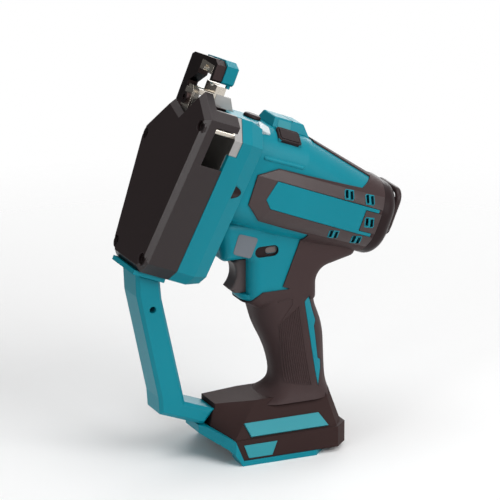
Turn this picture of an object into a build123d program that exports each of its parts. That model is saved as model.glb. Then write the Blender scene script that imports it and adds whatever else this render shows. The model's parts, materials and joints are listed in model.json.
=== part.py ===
from build123d import *
from functools import cache
import math
import os

# Cordless threaded rod cutter, in millimetres. +X is forward, +Y the tool's left, +Z up, and the
# origin is the middle of the foot's underside. The head and the motor are drawn in a head frame:
# its X axis is the motor axis and its origin is where that axis meets the front of the head cover.
# In that frame "depth" is the distance behind the cover's face and "rise" the height over the axis.

# Head frame in the tool
HEAD_X = 80.0
HEAD_Z = 238.0
HEAD_TILT = 22.0

# Fits
FIT = 0.1
RUN_GAP = 0.3
SHAFT_FIT = 0.04

# Head outline, seen from the front
HEAD_BASE_RISE = -86.0
HEAD_BASE_HALF = 22.0
HEAD_FOOT_RISE = -77.0
HEAD_FOOT_HALF = 31.0
LEFT_SHOULDER = (47.0, 40.0)
COVER_PEAK = (22.0, 55.0)
COVER_NOTCH = (2.5, 33.0)
ARM_CORNER = (-19.0, 38.5)
RIGHT_SHOULDER = (-44.0, 12.5)
RIGHT_SIDE = (-46.0, 3.0)

# Head cover, front plate and standoffs
COVER_WALL = 2.5
COVER_CHAMFER = 4.0
COVER_SIDE_DEPTH = 10.4
WINDOW_RISE = 5.0
WINDOW_TOP = 35.0
PEAK_FOOT = 46.0
PLATE_DEPTH = 5.5
PLATE_THICKNESS = 4.0
STANDOFF_RADIUS = 3.25
COVER_SCREW_RADIUS = 2.0
COVER_SCREW_HEAD_RADIUS = 3.8
COVER_SCREW_HEAD_HEIGHT = 2.4
COVER_SCREW_SOCKET = 1.7
COVER_SCREW_LENGTH = 10.0
COVER_SCREW_FLOOR = 1.5
COVER_BOSS_RADIUS = 5.6
COVER_SCREW_PLACES = ((39.5, 32.5), (-38.5, 5.0), (24.0, -75.5), (-24.0, -75.5))

# Gear case
CASE_DEPTH = 28.0
CASE_FRONT_WALL = 4.0
CASE_WALL = 3.0
CASE_REAR_PLATE = 4.0
CASE_TOP = 45.0
EAR_DEPTH = 6.5
EAR_INSET = 0.4
EAR_SIDE = 30.0
EAR_RISE = 18.0
BRACKET_FRONT = 20.0
BRACKET_TOP_BACK = 32.0
BRACKET_BACK = 38.5
BRACKET_BACK_RISE = 43.0
BRACKET_HALF = 9.5
BRACKET_FOOT_RISE = 38.0

# Dies and the rod they cut
ROD_RISE = 73.0
ROD_RADIUS = 4.0
GROOVE_CLEARANCE = 0.3
DIE_SEAT_RISE = 54.0
DIE_TOP_RISE = 60.0
DIE_HALF = 9.3
DIE_BACK = 26.0
DIE_LIP_TOP = 53.8
DIE_LIP_FOOT = 50.0
DIE_NOTCH_HALF = 4.5
DIE_NOTCH_DEPTH = 2.6
GROOVE_OVER_DIE = 2.2
CLAMP_THICKNESS = 1.9
CLAMP_SIDE = -2.2
CLAMP_HALF = 6.2
CLAMP_FOOT_RISE = 37.5
CLAMP_HOLD = 1.8
TONGUE_FOOT_RISE = 20.0
CLAMP_SCREW_RADIUS = 2.5
CLAMP_SLOT_LENGTH = 9.0

# Cutting arm
ARM_THICKNESS = 8.0
ARM_TRAVEL = 14.0
ARM_OUTER = -30.0
ARM_INNER = -21.0
ARM_PLATE_LEFT = 20.0
ARM_PLATE_FOOT = -60.0
ARM_PLATE_TOP = 10.0
ARM_FOOT_CHAMFER = 14.0
HOOK_BACK_RISE = 78.3
HOOK_CROWN = (8.0, 84.0)
HOOK_CORNER_DROP = 3.0
HOOK_BACK_SLOPE = (3.5, 2.2)
HOOK_TIP_CUT = 1.5
HOOK_SIDE = 14.0
HOOK_TIP_RISE = 68.0
HOOK_TIP_WIDTH = 4.0
HOOK_THROAT = -11.0
HOOK_THROAT_DROP = 5.0
HOOK_ROOT_DROP = 13.0
DIE_POCKET_RISE = 79.0
MOVING_DIE_FOOT = 72.0
MOVING_DIE_SCREW_RADIUS = 1.2
MOVING_DIE_SCREW_HEAD = 2.0
MOVING_DIE_SCREW_HEIGHT = 2.0
MOVING_DIE_SCREW_LENGTH = 5.0
MOVING_DIE_SCREW_FLOOR = 1.5
MOVING_DIE_SCREW_WAY = 8.0
MOVING_DIE_SCREW_PLACES = (-7.6, 6.6)
GUARD_LENGTH = 10.5
GUARD_WALL = 5.0
GUARD_GROWTH = 1.0
GUARD_ROUND = 2.0
GUARD_TAB = 2.5
GUIDE_WIDTH = 3.2
GUIDE_FOOT = -45.0
GUIDE_TOP = 3.0

# Cam, follower and gear train
CAM_RISE = -32.0
CAM_BASE_RADIUS = 12.0
CAM_SWEEP = 280.0
REST_TURN = 106.0
CAM_DWELL = 6.0
CAM_STEPS = 20
CAM_HEEL_TURN = -50.0
CAM_THICKNESS = 8.0
CAM_SHAFT_RADIUS = 6.0
BUSH_WALL = 2.0
ROLLER_RADIUS = 7.0
ROLLER_PIN_RADIUS = 3.0
PRESSURE_ANGLE = 25.0
ADDENDUM = 0.8
DEDENDUM = 1.15
BACKLASH = 0.16
SLOW_MODULE = 1.25
CAM_TEETH = 40
IDLER_PINION_TEETH = 12
FAST_MODULE = 0.8
IDLER_TEETH = 36
ROTOR_TEETH = 10
GEAR_WIDTH = 7.0
GEAR_SPACE = 0.5
IDLER_SHAFT_RADIUS = 3.0
IDLER_SEAT_WALL = 1.0

# Motor
ROTOR_SHAFT_RADIUS = 2.5
BEARING_RADIUS = 8.0
BEARING_WIDTH = 5.0
BEARING_BOSS_WALL = 3.0
STATOR_RADIUS = 28.0
STATOR_BORE = 14.0
STATOR_DEPTH = 92.0
STATOR_LENGTH = 26.0
STATOR_YOKE = 4.5
SLOTS = 6
TOOTH_WIDTH = 7.0
COIL_WALL = 2.6
TOOTH_TIP = 4.0
ROTOR_CORE_RADIUS = 13.5
FAN_DEPTH = 128.0
FAN_WIDTH = 9.0
FAN_RADIUS = 25.0
FAN_HUB_RADIUS = 9.0
FAN_BLADES = 11
FAN_DISC = 1.5
REAR_BEARING_DEPTH = 152.0

# Housing: front flange and motor barrel
FLANGE_FRONT = 28.2
FLANGE_BACK = 54.0
FLANGE_SHOULDER = 43.0
FLANGE_WALL = 4.0
FLANGE_TAPER = 3.3
HOUSING_WALL = 4.0
BARREL_FRONT = 46.0
BARREL_MIDDLE = 98.0
BARREL_BACK = 172.0
BARREL_HALF = 35.0
BARREL_BACK_HALF = 32.0
BARREL_TOP = 43.5
BARREL_BACK_TOP = 27.0
BARREL_FOOT = -34.0
BARREL_BACK_FOOT = -27.5
BARREL_ROUND = 22.0
SKIN = 1.2
RIB_WIDTH = 3.0
RIB_INSET = 2.0
END_PLATE_DEPTH = 148.0
END_PLATE_RADIUS = 24.0
CAP_LENGTH = 13.0
CAP_ROUND = 9.0
CAP_WALL = 3.0
CAP_SLOTS = 5
CAP_SLOT_PITCH = 6.5
VENT_PLACES = ((139.0, 14.0), (158.0, 14.5), (163.0, -1.8), (139.0, -18.0), (159.5, -17.5))
VENT_LENGTH = 6.0
VENT_WIDTH = 2.4
VENT_STEP = 4.4
VENT_SLANT = 18.0
RECESS_RADIUS = 6.5
RECESS_SIDE = 44.5
RECESS_RISE = -7.5
RECESS_FLOOR = 44.0

# Dark overmould: side panel outline by depth and rise, grip cover in the tool's side view
PANEL_FRONT = 61.0
PANEL_TIP_TOP = 9.0
PANEL_TIP_FOOT = -14.0
PANEL_TOP = 18.0
PANEL_POINT = 15.0
PANEL_BEND = 150.0
PANEL_BEND_RISE = 21.0
PANEL_SHOULDER = (159.0, 29.0)
PANEL_CROWN = 48.0
PANEL_FOOT = -24.0
PANEL_NECK = 121.0
RIDGE_HALF = 18.0
RIDGE_FRONT = 105.0
STRIPE_FRONT = 73.0
STRIPE_BACK = 156.0
STRIPE_TOP = 9.4
STRIPE_FOOT = -12.5
STRIPE_POINT_TOP = 4.0
STRIPE_POINT_FOOT = 6.0
GRIP_COVER = (
    (-30.5, 172.0),
    (-30.9, 166.0),
    (-24.4, 159.0),
    (-22.2, 154.6),
    (-15.6, 131.5),
    (-13.8, 128.4),
    (-10.8, 127.0),
    (9.9, 127.0),
    (15.0, 123.0),
    (19.0, 118.0),
    (30.0, 117.0),
    (30.0, 30.0),
    (-75.0, 30.0),
    (-75.0, 172.0),
)
GRIP_STRIP = (
    (-24.3, 115.4),
    (-28.7, 119.5),
    (-35.2, 98.4),
    (-33.6, 94.4),
    (-37.4, 68.3),
    (-40.1, 66.4),
    (-40.1, 59.1),
    (-36.8, 46.0),
)

# Housing: trigger neck, handle and foot
NECK_HALF = 20.5
NECK_ROUND = 8.0
NECK_FRONT = 40.0
NECK_HOOD_RISE = 153.0
NECK_HOOD_LEAN = (4.0, 34.0)
NECK_WAIST_FRONT = 18.0
NECK_FOOT = 115.0
NECK_FOOT_STEP = 6.0
NECK_BACK = -34.5
WEB_RISE = 139.0
WEB_TAIL = (-68.0, 147.0)
WEB_CROWN = (-56.0, 172.0)
WEB_RADIUS = 14.0
NECK_ROUNDS = (3.0, 10.0, 5.0, 3.0, WEB_RADIUS, 3.0, 3.0, 3.0, 3.0)
CHIN_FRONT = 23.0
CHIN_ROUND = 3.0
CHIN_FOOT = 119.0
CHIN_TOP = 124.4
GRIP_WALL = 3.0
GRIP_FOOT = 38.0
HOUSING_SCREW_PLACES = ((28.0, 168.0), (-45.0, 151.0), (-17.0, 104.0), (-25.0, 58.0))
HOUSING_BOSS_RADIUS = 4.5
HOUSING_SCREW_RADIUS = 1.7
HOUSING_SCREW_HEAD = 3.2
HOUSING_SCREW_SEAT = 12.0
HOUSING_SCREW_TOP = 14.4
HOUSING_SCREW_REACH = 12.0

# Foot: dark shell, teal skirt with battery rails
FOOT_HALF = 39.5
FOOT_FRONT = 39.0
FOOT_BACK = -54.0
FOOT_SHELF = 20.0
SHELF_STEP = 2.5
FOOT_TOP = 42.0
FOOT_CORNER = 10.0
FOOT_NOSE = 52.0
FOOT_NOSE_HALF = 14.0
RIDGE_BACK = -48.0
RIDGE_NOSE = 45.0
RIDGE_TOP_HALF = 17.5
SKIRT_HEIGHT = 4.0
SKIRT_FRONT = 34.0
SKIRT_BACK = -36.0
SKIRT_BELLY = (41.0, 11.0)
SKIRT_BROW = (49.0, 15.5)
SKIRT_PROUD = 0.8
NOSE_TIP = 58.0
NOSE_HALF = 12.0
NOSE_RISE = 27.0
NOSE_THICKNESS = 6.0
CHANNEL_HALF = 29.0
CHANNEL_HEIGHT = 15.0
RAIL_WIDTH = 4.0
RAIL_HEIGHT = 4.0
INLAY_THICKNESS = 1.4
INLAY_PROUD = 0.35
INLAY_FRONT = 26.0
INLAY_BACK = -37.0
INLAY_LEAN = 5.0
INLAY_LOW = 0.8
INLAY_HIGH = 12.0
BADGE_FRONT = 33.0
BADGE_BACK = 6.0
BADGE_LEAN = 4.0
BADGE_RISE = 10.9
BADGE_HEIGHT = 10.4
TERMINAL_HALF = 20.0
TERMINAL_FRONT = -6.0
TERMINAL_FOOT = 4.5
BLADE_SIDES = (-12.0, 0.0, 12.0)
BLADE_INSET = 6.0
BLADE_EDGE = 2.0
BLADE_REACH = 10.0
BLADE_THICKNESS = 1.0
BOARD_HALF = 18.0
BOARD_LENGTH = 44.0
BOARD_HEIGHT = 9.0

# Loop guard
LOOP_HALF = 14.0
LOOP_FRONT_TOP = (107.0, 134.0)
LOOP_FRONT_FOOT = (90.0, 53.0)
LOOP_TOE = (89.0, 40.0)
LOOP_HEEL = (54.0, 27.0)
LOOP_TIP = (45.0, 38.0)
LOOP_INSIDE_FOOT = (69.0, 47.0)
LOOP_INSIDE_TOP = (87.0, 130.0)
LOOP_LIP = 3.5
LOOP_LIP_FRONT = 0.5
LOOP_LIP_HALF = 20.0
LOOP_HOLE_RADIUS = 2.6
LOOP_HOLE = (95.0, 123.0)
LOOP_ROUND = 2.5
LOOP_TOP_FRONT = 6.0
LOOP_TOP_BACK = 27.0
LOOP_SEAT = 0.1
LOOP_SCREW = (58.0, 34.0)
LOOP_SCREW_RADIUS = 2.5
LOOP_SCREW_COVER = 2.0

# Controls
TRIGGER_HALF = 8.5
TRIGGER_TOP = 150.5
TRIGGER_FOOT = 125.0
TRIGGER_FRONT = 27.5
TRIGGER_TOE = 30.0
TRIGGER_TOE_CUT = 3.0
TRIGGER_HEEL_CUT = 4.0
TRIGGER_HOLLOW = 25.0
TRIGGER_ROUND = 3.0
TRIGGER_BACK = -1.0
TRIGGER_TRAVEL = 7.0
PLUNGER_RADIUS = 3.0
PLUNGER_BACK = -20.0
SWITCH_FRONT = -9.0
SWITCH_BACK = -29.0
SWITCH_HALF = 9.0
SWITCH_FOOT = 128.0
SWITCH_TOP = 156.0
LOCK_X = 6.0
LOCK_Z = 158.5
LOCK_SHIFT = 4.3
LOCK_LENGTH = 9.2
LOCK_HEIGHT = 4.8
LOCK_ROUND = 1.0
LOCK_POCKET_LENGTH = 19.0
LOCK_POCKET_HEIGHT = 8.4
LOCK_POCKET_DEPTH = 2.6
LOCK_TRAVEL = 5.0
LOCK_PROUD = 2.5
SHOULDER_TILT = 30.0
RETURN_DEPTH = 80.0
RETURN_LENGTH = 15.5
RETURN_WIDTH = 10.0
RETURN_TRAVEL = 2.5
RETURN_PROUD = 2.0
RETURN_RIM = 2.0
RETURN_RIM_PROUD = 1.0
RETURN_SWITCH_LENGTH = 12.0
RETURN_SWITCH_WIDTH = 9.0
RETURN_SWITCH_HEIGHT = 8.0
SHELF_REACH = 20.0
LAMP_DEPTH = 57.5
LAMP_WIDTH = 10.0
LAMP_LENGTH = 8.0
LAMP_TAPER = 1.5
LAMP_PROUD = 0.5
LAMP_SINK = 5.0
LAMP_BOARD = 2.0
LAMP_BOARD_GAP = 0.5
PLUG_DEPTH = 58.7
PLUG_RADIUS = 6.8
PLUG_STEM_RADIUS = 2.5
PLUG_HEIGHT = 3.0
PLUG_ROUND = 2.4
TOP_BOX_DEPTH = 70.0
TOP_BOX_LENGTH = 32.7
TOP_BOX_HALF = 14.0
TOP_BOX_RISE = 51.0
TOP_BOX_FRONT_SLOPE = 1.5
TOP_BOX_BACK_SLOPE = 6.7
TOP_BOX_DRAFT = 4.0
TOP_BOX_ROUND = 1.5
TOP_BOX_SLIT = 0.8
TOP_BOX_SLIT_DEPTH = 16.0

# Hanging hook
HOOK_WIRE_RADIUS = 2.5
HOOK_HALF = 20.0
HOOK_PIVOT_DEPTH = 188.0
HOOK_PIVOT_RISE = -5.6
HOOK_LENGTH = 30.0
HOOK_BEND = 8.0
HOOK_FOOT_BEND = 3.5
LUG_SIDE = 13.5
LUG_WIDTH = 5.0
LUG_RADIUS = 5.0

# Places that follow from the sizes above
ARM_DEPTH = PLATE_DEPTH + PLATE_THICKNESS + RUN_GAP
ARM_BACK = ARM_DEPTH + ARM_THICKNESS
CAM_DEPTH = ARM_BACK + 0.5
CAM_BACK = CAM_DEPTH + CAM_THICKNESS
SLOW_DEPTH = CASE_DEPTH + CASE_FRONT_WALL + GEAR_SPACE
IDLER_SEAT = CASE_DEPTH + IDLER_SEAT_WALL
FAST_DEPTH = SLOW_DEPTH + GEAR_WIDTH + GEAR_SPACE
CASE_BACK = FAST_DEPTH + GEAR_WIDTH + GEAR_SPACE
REAR_PLATE_BACK = CASE_BACK + CASE_REAR_PLATE
SLOW_CENTRES = SLOW_MODULE * (CAM_TEETH + IDLER_PINION_TEETH) / 2
FAST_CENTRES = FAST_MODULE * (IDLER_TEETH + ROTOR_TEETH) / 2
IDLER_RISE = (FAST_CENTRES**2 - SLOW_CENTRES**2 + CAM_RISE**2) / (2 * CAM_RISE)
IDLER_SIDE = math.sqrt(FAST_CENTRES**2 - IDLER_RISE**2)
ROLLER_RISE = CAM_RISE - CAM_BASE_RADIUS - ROLLER_RADIUS - RUN_GAP
RETURN_FOOT = HOUSING_WALL - RUN_GAP
RETURN_SWITCH_TOP = RETURN_FOOT + RETURN_TRAVEL + RUN_GAP
REST_DROP = ARM_TRAVEL * REST_TURN / CAM_SWEEP
HEAD = Location((HEAD_X, 0, HEAD_Z), (0, -HEAD_TILT, 0))


def slab(face, front, back):
    """Solid of a front-view face between two depths in the head frame."""
    return extrude(Plane.YZ.offset(-back) * face, amount=back - front, dir=(1, 0, 0))


def rod(radius, front, back, side=0.0, rise=0.0):
    return slab(Pos(side, rise) * Circle(radius), front, back)


def ring(outer, inner, front, back, side=0.0, rise=0.0):
    return rod(outer, front, back, side, rise) - rod(inner, front - 1, back + 1, side, rise)


def area(low_side, low_rise, high_side, high_rise):
    """Front-view rectangle between two corners."""
    middle = ((low_side + high_side) / 2, (low_rise + high_rise) / 2)
    return Pos(*middle) * Rectangle(high_side - low_side, high_rise - low_rise)


def side_plate(points, half):
    """Solid of a side-view outline, half on each side of the middle plane."""
    face = Plane.XZ * Polygon(*points, align=None)
    return extrude(face, amount=half, both=True)


def block(low, high):
    """Box between two corners."""
    size = [b - a for a, b in zip(low, high)]
    middle = [(a + b) / 2 for a, b in zip(low, high)]
    return Pos(*middle) * Box(*size)


def head_outline(inset=0.0):
    face = Polygon(
        (-HEAD_BASE_HALF, HEAD_BASE_RISE),
        (HEAD_BASE_HALF, HEAD_BASE_RISE),
        (HEAD_FOOT_HALF, HEAD_FOOT_RISE),
        LEFT_SHOULDER,
        COVER_PEAK,
        COVER_NOTCH,
        ARM_CORNER,
        RIGHT_SHOULDER,
        RIGHT_SIDE,
        (-HEAD_FOOT_HALF, HEAD_FOOT_RISE),
        align=None,
    )
    return offset(face, -inset, kind=Kind.INTERSECTION) if inset else face


def case_outline(inset):
    """Outline of the gear case and the flange round it: the head's without its peak and notch."""
    crown = CASE_TOP - LEFT_SHOULDER[1]
    face = Polygon(
        (-HEAD_BASE_HALF, HEAD_BASE_RISE),
        (HEAD_BASE_HALF, HEAD_BASE_RISE),
        (HEAD_FOOT_HALF, HEAD_FOOT_RISE),
        (LEFT_SHOULDER[0] - 1, CASE_TOP - 3 * crown),
        (LEFT_SHOULDER[0] - 3 * crown, CASE_TOP),
        (ARM_CORNER[0], CASE_TOP),
        RIGHT_SHOULDER,
        RIGHT_SIDE,
        (-HEAD_FOOT_HALF, HEAD_FOOT_RISE),
        align=None,
    )
    return offset(face, -inset, kind=Kind.INTERSECTION) if inset else face


def front_cover():
    shell = slab(head_outline(), 0, CASE_DEPTH - FIT)
    shell = chamfer(shell.faces().sort_by(Axis.X)[-1].edges(), COVER_CHAMFER)
    shell -= slab(head_outline(COVER_WALL), COVER_WALL, CASE_DEPTH)
    above = 2 * COVER_PEAK[1]
    shell -= slab(area(-above, WINDOW_RISE, 0, above), COVER_SIDE_DEPTH, CASE_DEPTH)
    shell -= slab(area(0, WINDOW_RISE, above, WINDOW_TOP), COVER_SIDE_DEPTH, CASE_DEPTH)
    shell -= slab(area(0, PEAK_FOOT, above, above), COVER_SIDE_DEPTH, CASE_DEPTH)
    shell -= slab(tongue_face(FIT), PLATE_DEPTH - FIT, CASE_DEPTH)
    arm_way = area(ARM_OUTER - 1, WINDOW_RISE, ARM_INNER + 1, above)
    shell -= slab(arm_way, ARM_DEPTH - 1, CASE_DEPTH)
    floor = PLATE_DEPTH - COVER_SCREW_FLOOR
    for side, rise in COVER_SCREW_PLACES:
        shell += rod(COVER_BOSS_RADIUS, COVER_WALL / 2, PLATE_DEPTH, side, rise)
        shell -= rod(COVER_SCREW_HEAD_RADIUS + 4 * FIT, -1, floor, side, rise)
        shell -= rod(COVER_SCREW_RADIUS + FIT, -1, PLATE_DEPTH + 1, side, rise)
    return shell


def cover_screws():
    floor = PLATE_DEPTH - COVER_SCREW_FLOOR
    top = floor - COVER_SCREW_HEAD_HEIGHT
    screws = []
    for side, rise in COVER_SCREW_PLACES:
        head = rod(COVER_SCREW_HEAD_RADIUS, top, floor, side, rise)
        socket = Plane.YZ.offset(-top - 1) * Pos(side, rise) * RegularPolygon(COVER_SCREW_SOCKET, 6)
        head -= extrude(socket, amount=2)
        screws.append(head + rod(COVER_SCREW_RADIUS, floor, floor + COVER_SCREW_LENGTH, side, rise))
    return screws


def tongue_face(growth=0.0):
    """Front view of the front plate's tongue, which carries the lower die's lip."""
    low = TONGUE_FOOT_RISE - growth
    left = CLAMP_SIDE + CLAMP_HALF + growth
    return area(CLAMP_SIDE - CLAMP_HALF - growth, low, left, DIE_LIP_FOOT - FIT + growth)


def front_plate():
    outline = head_outline(COVER_WALL + 4 * FIT) + tongue_face()
    plate = slab(outline, PLATE_DEPTH, PLATE_DEPTH + PLATE_THICKNESS)
    for side, rise in COVER_SCREW_PLACES:
        plate -= rod(COVER_SCREW_RADIUS + FIT, PLATE_DEPTH - 1, ARM_BACK, side, rise)
    bush = CAM_SHAFT_RADIUS + BUSH_WALL
    return plate - rod(bush, PLATE_DEPTH - 1, ARM_BACK, 0, CAM_RISE)


def standoffs():
    front = PLATE_DEPTH + PLATE_THICKNESS
    tapped = COVER_SCREW_LENGTH - COVER_SCREW_FLOOR - PLATE_THICKNESS + 1
    bars = []
    for side, rise in COVER_SCREW_PLACES:
        bar = rod(STANDOFF_RADIUS, front, CASE_DEPTH, side, rise)
        bars.append(bar - rod(COVER_SCREW_RADIUS + FIT, front - 1, front + tapped, side, rise))
    return bars


def ear(inset, gap=0.0):
    """Corner of the gear case that shows between the cover and the housing."""
    corner = area(EAR_SIDE - gap, EAR_RISE - gap, 2 * EAR_SIDE, 2 * CASE_TOP)
    return slab(case_outline(inset) & corner, CASE_DEPTH, CASE_DEPTH + EAR_DEPTH + gap)


def die_bracket():
    """Arm of the gear case that leans forward under the lower die."""
    outline = (
        (-CASE_DEPTH, BRACKET_FOOT_RISE),
        (-BRACKET_FRONT, BRACKET_BACK_RISE),
        (-BRACKET_FRONT, DIE_SEAT_RISE),
        (-BRACKET_TOP_BACK, DIE_SEAT_RISE),
        (-BRACKET_BACK, BRACKET_BACK_RISE),
        (-BRACKET_BACK, BRACKET_FOOT_RISE),
    )
    return side_plate(outline, BRACKET_HALF)


def gear_case():
    inset = FLANGE_WALL + FIT
    case = slab(case_outline(inset), CASE_DEPTH, CASE_BACK)
    case -= slab(case_outline(inset + CASE_WALL), CASE_DEPTH + CASE_FRONT_WALL, CASE_BACK + 1)
    room = slab(case_outline(inset + CASE_WALL), CASE_DEPTH + CASE_FRONT_WALL, CASE_BACK)
    case += ear(EAR_INSET) + die_bracket() - room
    bush = CAM_SHAFT_RADIUS + BUSH_WALL
    case -= rod(bush, CASE_DEPTH - 1, SLOW_DEPTH, 0, CAM_RISE)
    bush = IDLER_SHAFT_RADIUS + BUSH_WALL
    return case - rod(bush, IDLER_SEAT, SLOW_DEPTH, IDLER_SIDE, IDLER_RISE)


def case_rear_plate():
    plate = slab(case_outline(FLANGE_WALL + FIT), CASE_BACK, REAR_PLATE_BACK)
    boss_back = REAR_PLATE_BACK + BEARING_WIDTH
    plate += rod(BEARING_RADIUS + BEARING_BOSS_WALL, CASE_BACK, boss_back)
    plate -= rod(BEARING_RADIUS, REAR_PLATE_BACK, boss_back + 1)
    plate -= rod(BEARING_RADIUS - 2, CASE_BACK - 1, boss_back)
    bush = CAM_SHAFT_RADIUS + BUSH_WALL
    plate -= rod(bush, CASE_BACK - 1, boss_back, 0, CAM_RISE)
    bush = IDLER_SHAFT_RADIUS + BUSH_WALL
    return plate - rod(bush, CASE_BACK - 1, boss_back, IDLER_SIDE, IDLER_RISE)


def groove(front, back, rise):
    """Way for the rod, open downwards or upwards from its axis."""
    return rod(ROD_RADIUS + GROOVE_CLEARANCE, front, back, 0, rise)


def fixed_die():
    shear = ARM_BACK + RUN_GAP
    die = slab(area(-DIE_HALF, DIE_SEAT_RISE, DIE_HALF, DIE_TOP_RISE), shear, DIE_BACK)
    lip_back = BRACKET_FRONT - FIT
    die += slab(area(-DIE_HALF, DIE_LIP_FOOT, DIE_HALF, DIE_LIP_TOP), PLATE_DEPTH, lip_back)
    die += slab(area(-DIE_HALF, DIE_LIP_FOOT, DIE_HALF, DIE_TOP_RISE), shear, lip_back)
    die -= groove(PLATE_DEPTH - 1, DIE_BACK + 1, DIE_TOP_RISE + GROOVE_OVER_DIE)
    notch = Polygon(
        (-DIE_NOTCH_HALF, DIE_LIP_TOP + 1),
        (0, DIE_LIP_TOP - DIE_NOTCH_DEPTH),
        (DIE_NOTCH_HALF, DIE_LIP_TOP + 1),
        align=None,
    )
    return die - slab(notch, PLATE_DEPTH - 1, shear)


def die_clamp():
    """Slotted plate on the tongue that holds the lower die's lip from the front."""
    front = PLATE_DEPTH - CLAMP_THICKNESS
    top = DIE_LIP_FOOT + CLAMP_HOLD
    low_side = CLAMP_SIDE - CLAMP_HALF
    plate = slab(area(low_side, CLAMP_FOOT_RISE, low_side + 2 * CLAMP_HALF, top), front, PLATE_DEPTH)
    middle = (CLAMP_FOOT_RISE + DIE_LIP_FOOT) / 2
    slot = SlotOverall(CLAMP_SLOT_LENGTH, 2 * CLAMP_SCREW_RADIUS + 2 * FIT, rotation=90)
    return plate - slab(Pos(CLAMP_SIDE, middle) * slot, front - 1, PLATE_DEPTH + 1)


def die_clamp_screw():
    front = PLATE_DEPTH - CLAMP_THICKNESS
    middle = (CLAMP_FOOT_RISE + DIE_LIP_FOOT) / 2
    head = rod(1.8 * CLAMP_SCREW_RADIUS, front - CLAMP_SCREW_RADIUS, front, CLAMP_SIDE, middle)
    socket = Plane.YZ.offset(-front + 1) * Pos(CLAMP_SIDE, middle) * RegularPolygon(CLAMP_SCREW_RADIUS, 6)
    head -= extrude(socket, amount=2 * CLAMP_SCREW_RADIUS)
    return head + rod(CLAMP_SCREW_RADIUS, front, PLATE_DEPTH, CLAMP_SIDE, middle)


def hook_outline(growth=0.0):
    """Hook over the rod, from the arm's bar round to its tip."""
    side = HOOK_SIDE + growth
    tip_inner = HOOK_SIDE - HOOK_TIP_WIDTH
    return Polygon(
        (ARM_OUTER, DIE_SEAT_RISE),
        (ARM_OUTER, HOOK_BACK_RISE + growth),
        (ARM_OUTER + HOOK_BACK_SLOPE[0], HOOK_BACK_RISE + HOOK_BACK_SLOPE[1] + growth),
        (HOOK_CROWN[0], HOOK_CROWN[1] + growth),
        (side, HOOK_CROWN[1] - HOOK_CORNER_DROP + growth),
        (side, HOOK_TIP_RISE + HOOK_TIP_CUT),
        (side - HOOK_TIP_CUT, HOOK_TIP_RISE),
        (tip_inner, HOOK_TIP_RISE),
        (tip_inner, DIE_POCKET_RISE),
        (HOOK_THROAT, DIE_POCKET_RISE),
        (HOOK_THROAT, ROD_RISE - HOOK_THROAT_DROP),
        (ARM_INNER, ROD_RISE - HOOK_ROOT_DROP),
        (ARM_INNER, DIE_SEAT_RISE),
        align=None,
    )


def die_screw_way(side):
    """Way of a moving die screw, up through the die into the hook."""
    way = Cylinder(MOVING_DIE_SCREW_RADIUS + FIT, MOVING_DIE_SCREW_WAY)
    return Pos(-(ARM_DEPTH + ARM_BACK) / 2, side, DIE_POCKET_RISE) * way


def cutting_arm():
    plate = area(ARM_OUTER, ARM_PLATE_FOOT, ARM_PLATE_LEFT, ARM_PLATE_TOP)
    plate = chamfer(plate.vertices().group_by(Axis.Y)[0], ARM_FOOT_CHAMFER)
    bar = area(ARM_OUTER, ARM_PLATE_TOP - 1, ARM_INNER, DIE_SEAT_RISE + 1)
    arm = slab(plate + bar, ARM_DEPTH, ARM_BACK) + slab(hook_outline(), ARM_DEPTH, ARM_BACK)
    shaft_way = CAM_SHAFT_RADIUS + RUN_GAP
    slot = SlotOverall(ARM_TRAVEL + 2 * shaft_way, 2 * shaft_way, rotation=90)
    arm -= slab(Pos(0, CAM_RISE + ARM_TRAVEL / 2) * slot, ARM_DEPTH - 1, ARM_BACK + 1)
    arm -= rod(ROLLER_PIN_RADIUS, ARM_DEPTH - 1, ARM_BACK + 1, 0, ROLLER_RISE)
    middle = (ARM_DEPTH + ARM_BACK) / 2
    for side in MOVING_DIE_SCREW_PLACES:
        head_floor = DIE_POCKET_RISE + MOVING_DIE_SCREW_FLOOR
        way = Pos(-middle, side, head_floor) * Cylinder(
            MOVING_DIE_SCREW_HEAD + FIT, HOOK_CROWN[1], align=(Align.CENTER, Align.CENTER, Align.MIN)
        )
        shank = die_screw_way(side)
        arm = arm - way - shank
    return arm


def moving_die():
    left = HOOK_SIDE - HOOK_TIP_WIDTH - FIT
    block_face = area(HOOK_THROAT + FIT, MOVING_DIE_FOOT, left, DIE_POCKET_RISE - FIT)
    die = slab(block_face, ARM_DEPTH, ARM_BACK)
    die -= groove(ARM_DEPTH - 1, ARM_BACK + 1, ROD_RISE)
    for side in MOVING_DIE_SCREW_PLACES:
        die -= die_screw_way(side)
    return die


def moving_die_screws():
    middle = (ARM_DEPTH + ARM_BACK) / 2
    floor = DIE_POCKET_RISE + MOVING_DIE_SCREW_FLOOR
    length = MOVING_DIE_SCREW_LENGTH
    standing = (Align.CENTER, Align.CENTER, Align.MIN)
    screws = []
    for side in MOVING_DIE_SCREW_PLACES:
        head = Cylinder(MOVING_DIE_SCREW_HEAD, MOVING_DIE_SCREW_HEIGHT, align=standing)
        shank = Pos(0, 0, -length) * Cylinder(MOVING_DIE_SCREW_RADIUS, length, align=standing)
        screws.append(Pos(-middle, side, floor) * (head + shank))
    return screws


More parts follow.
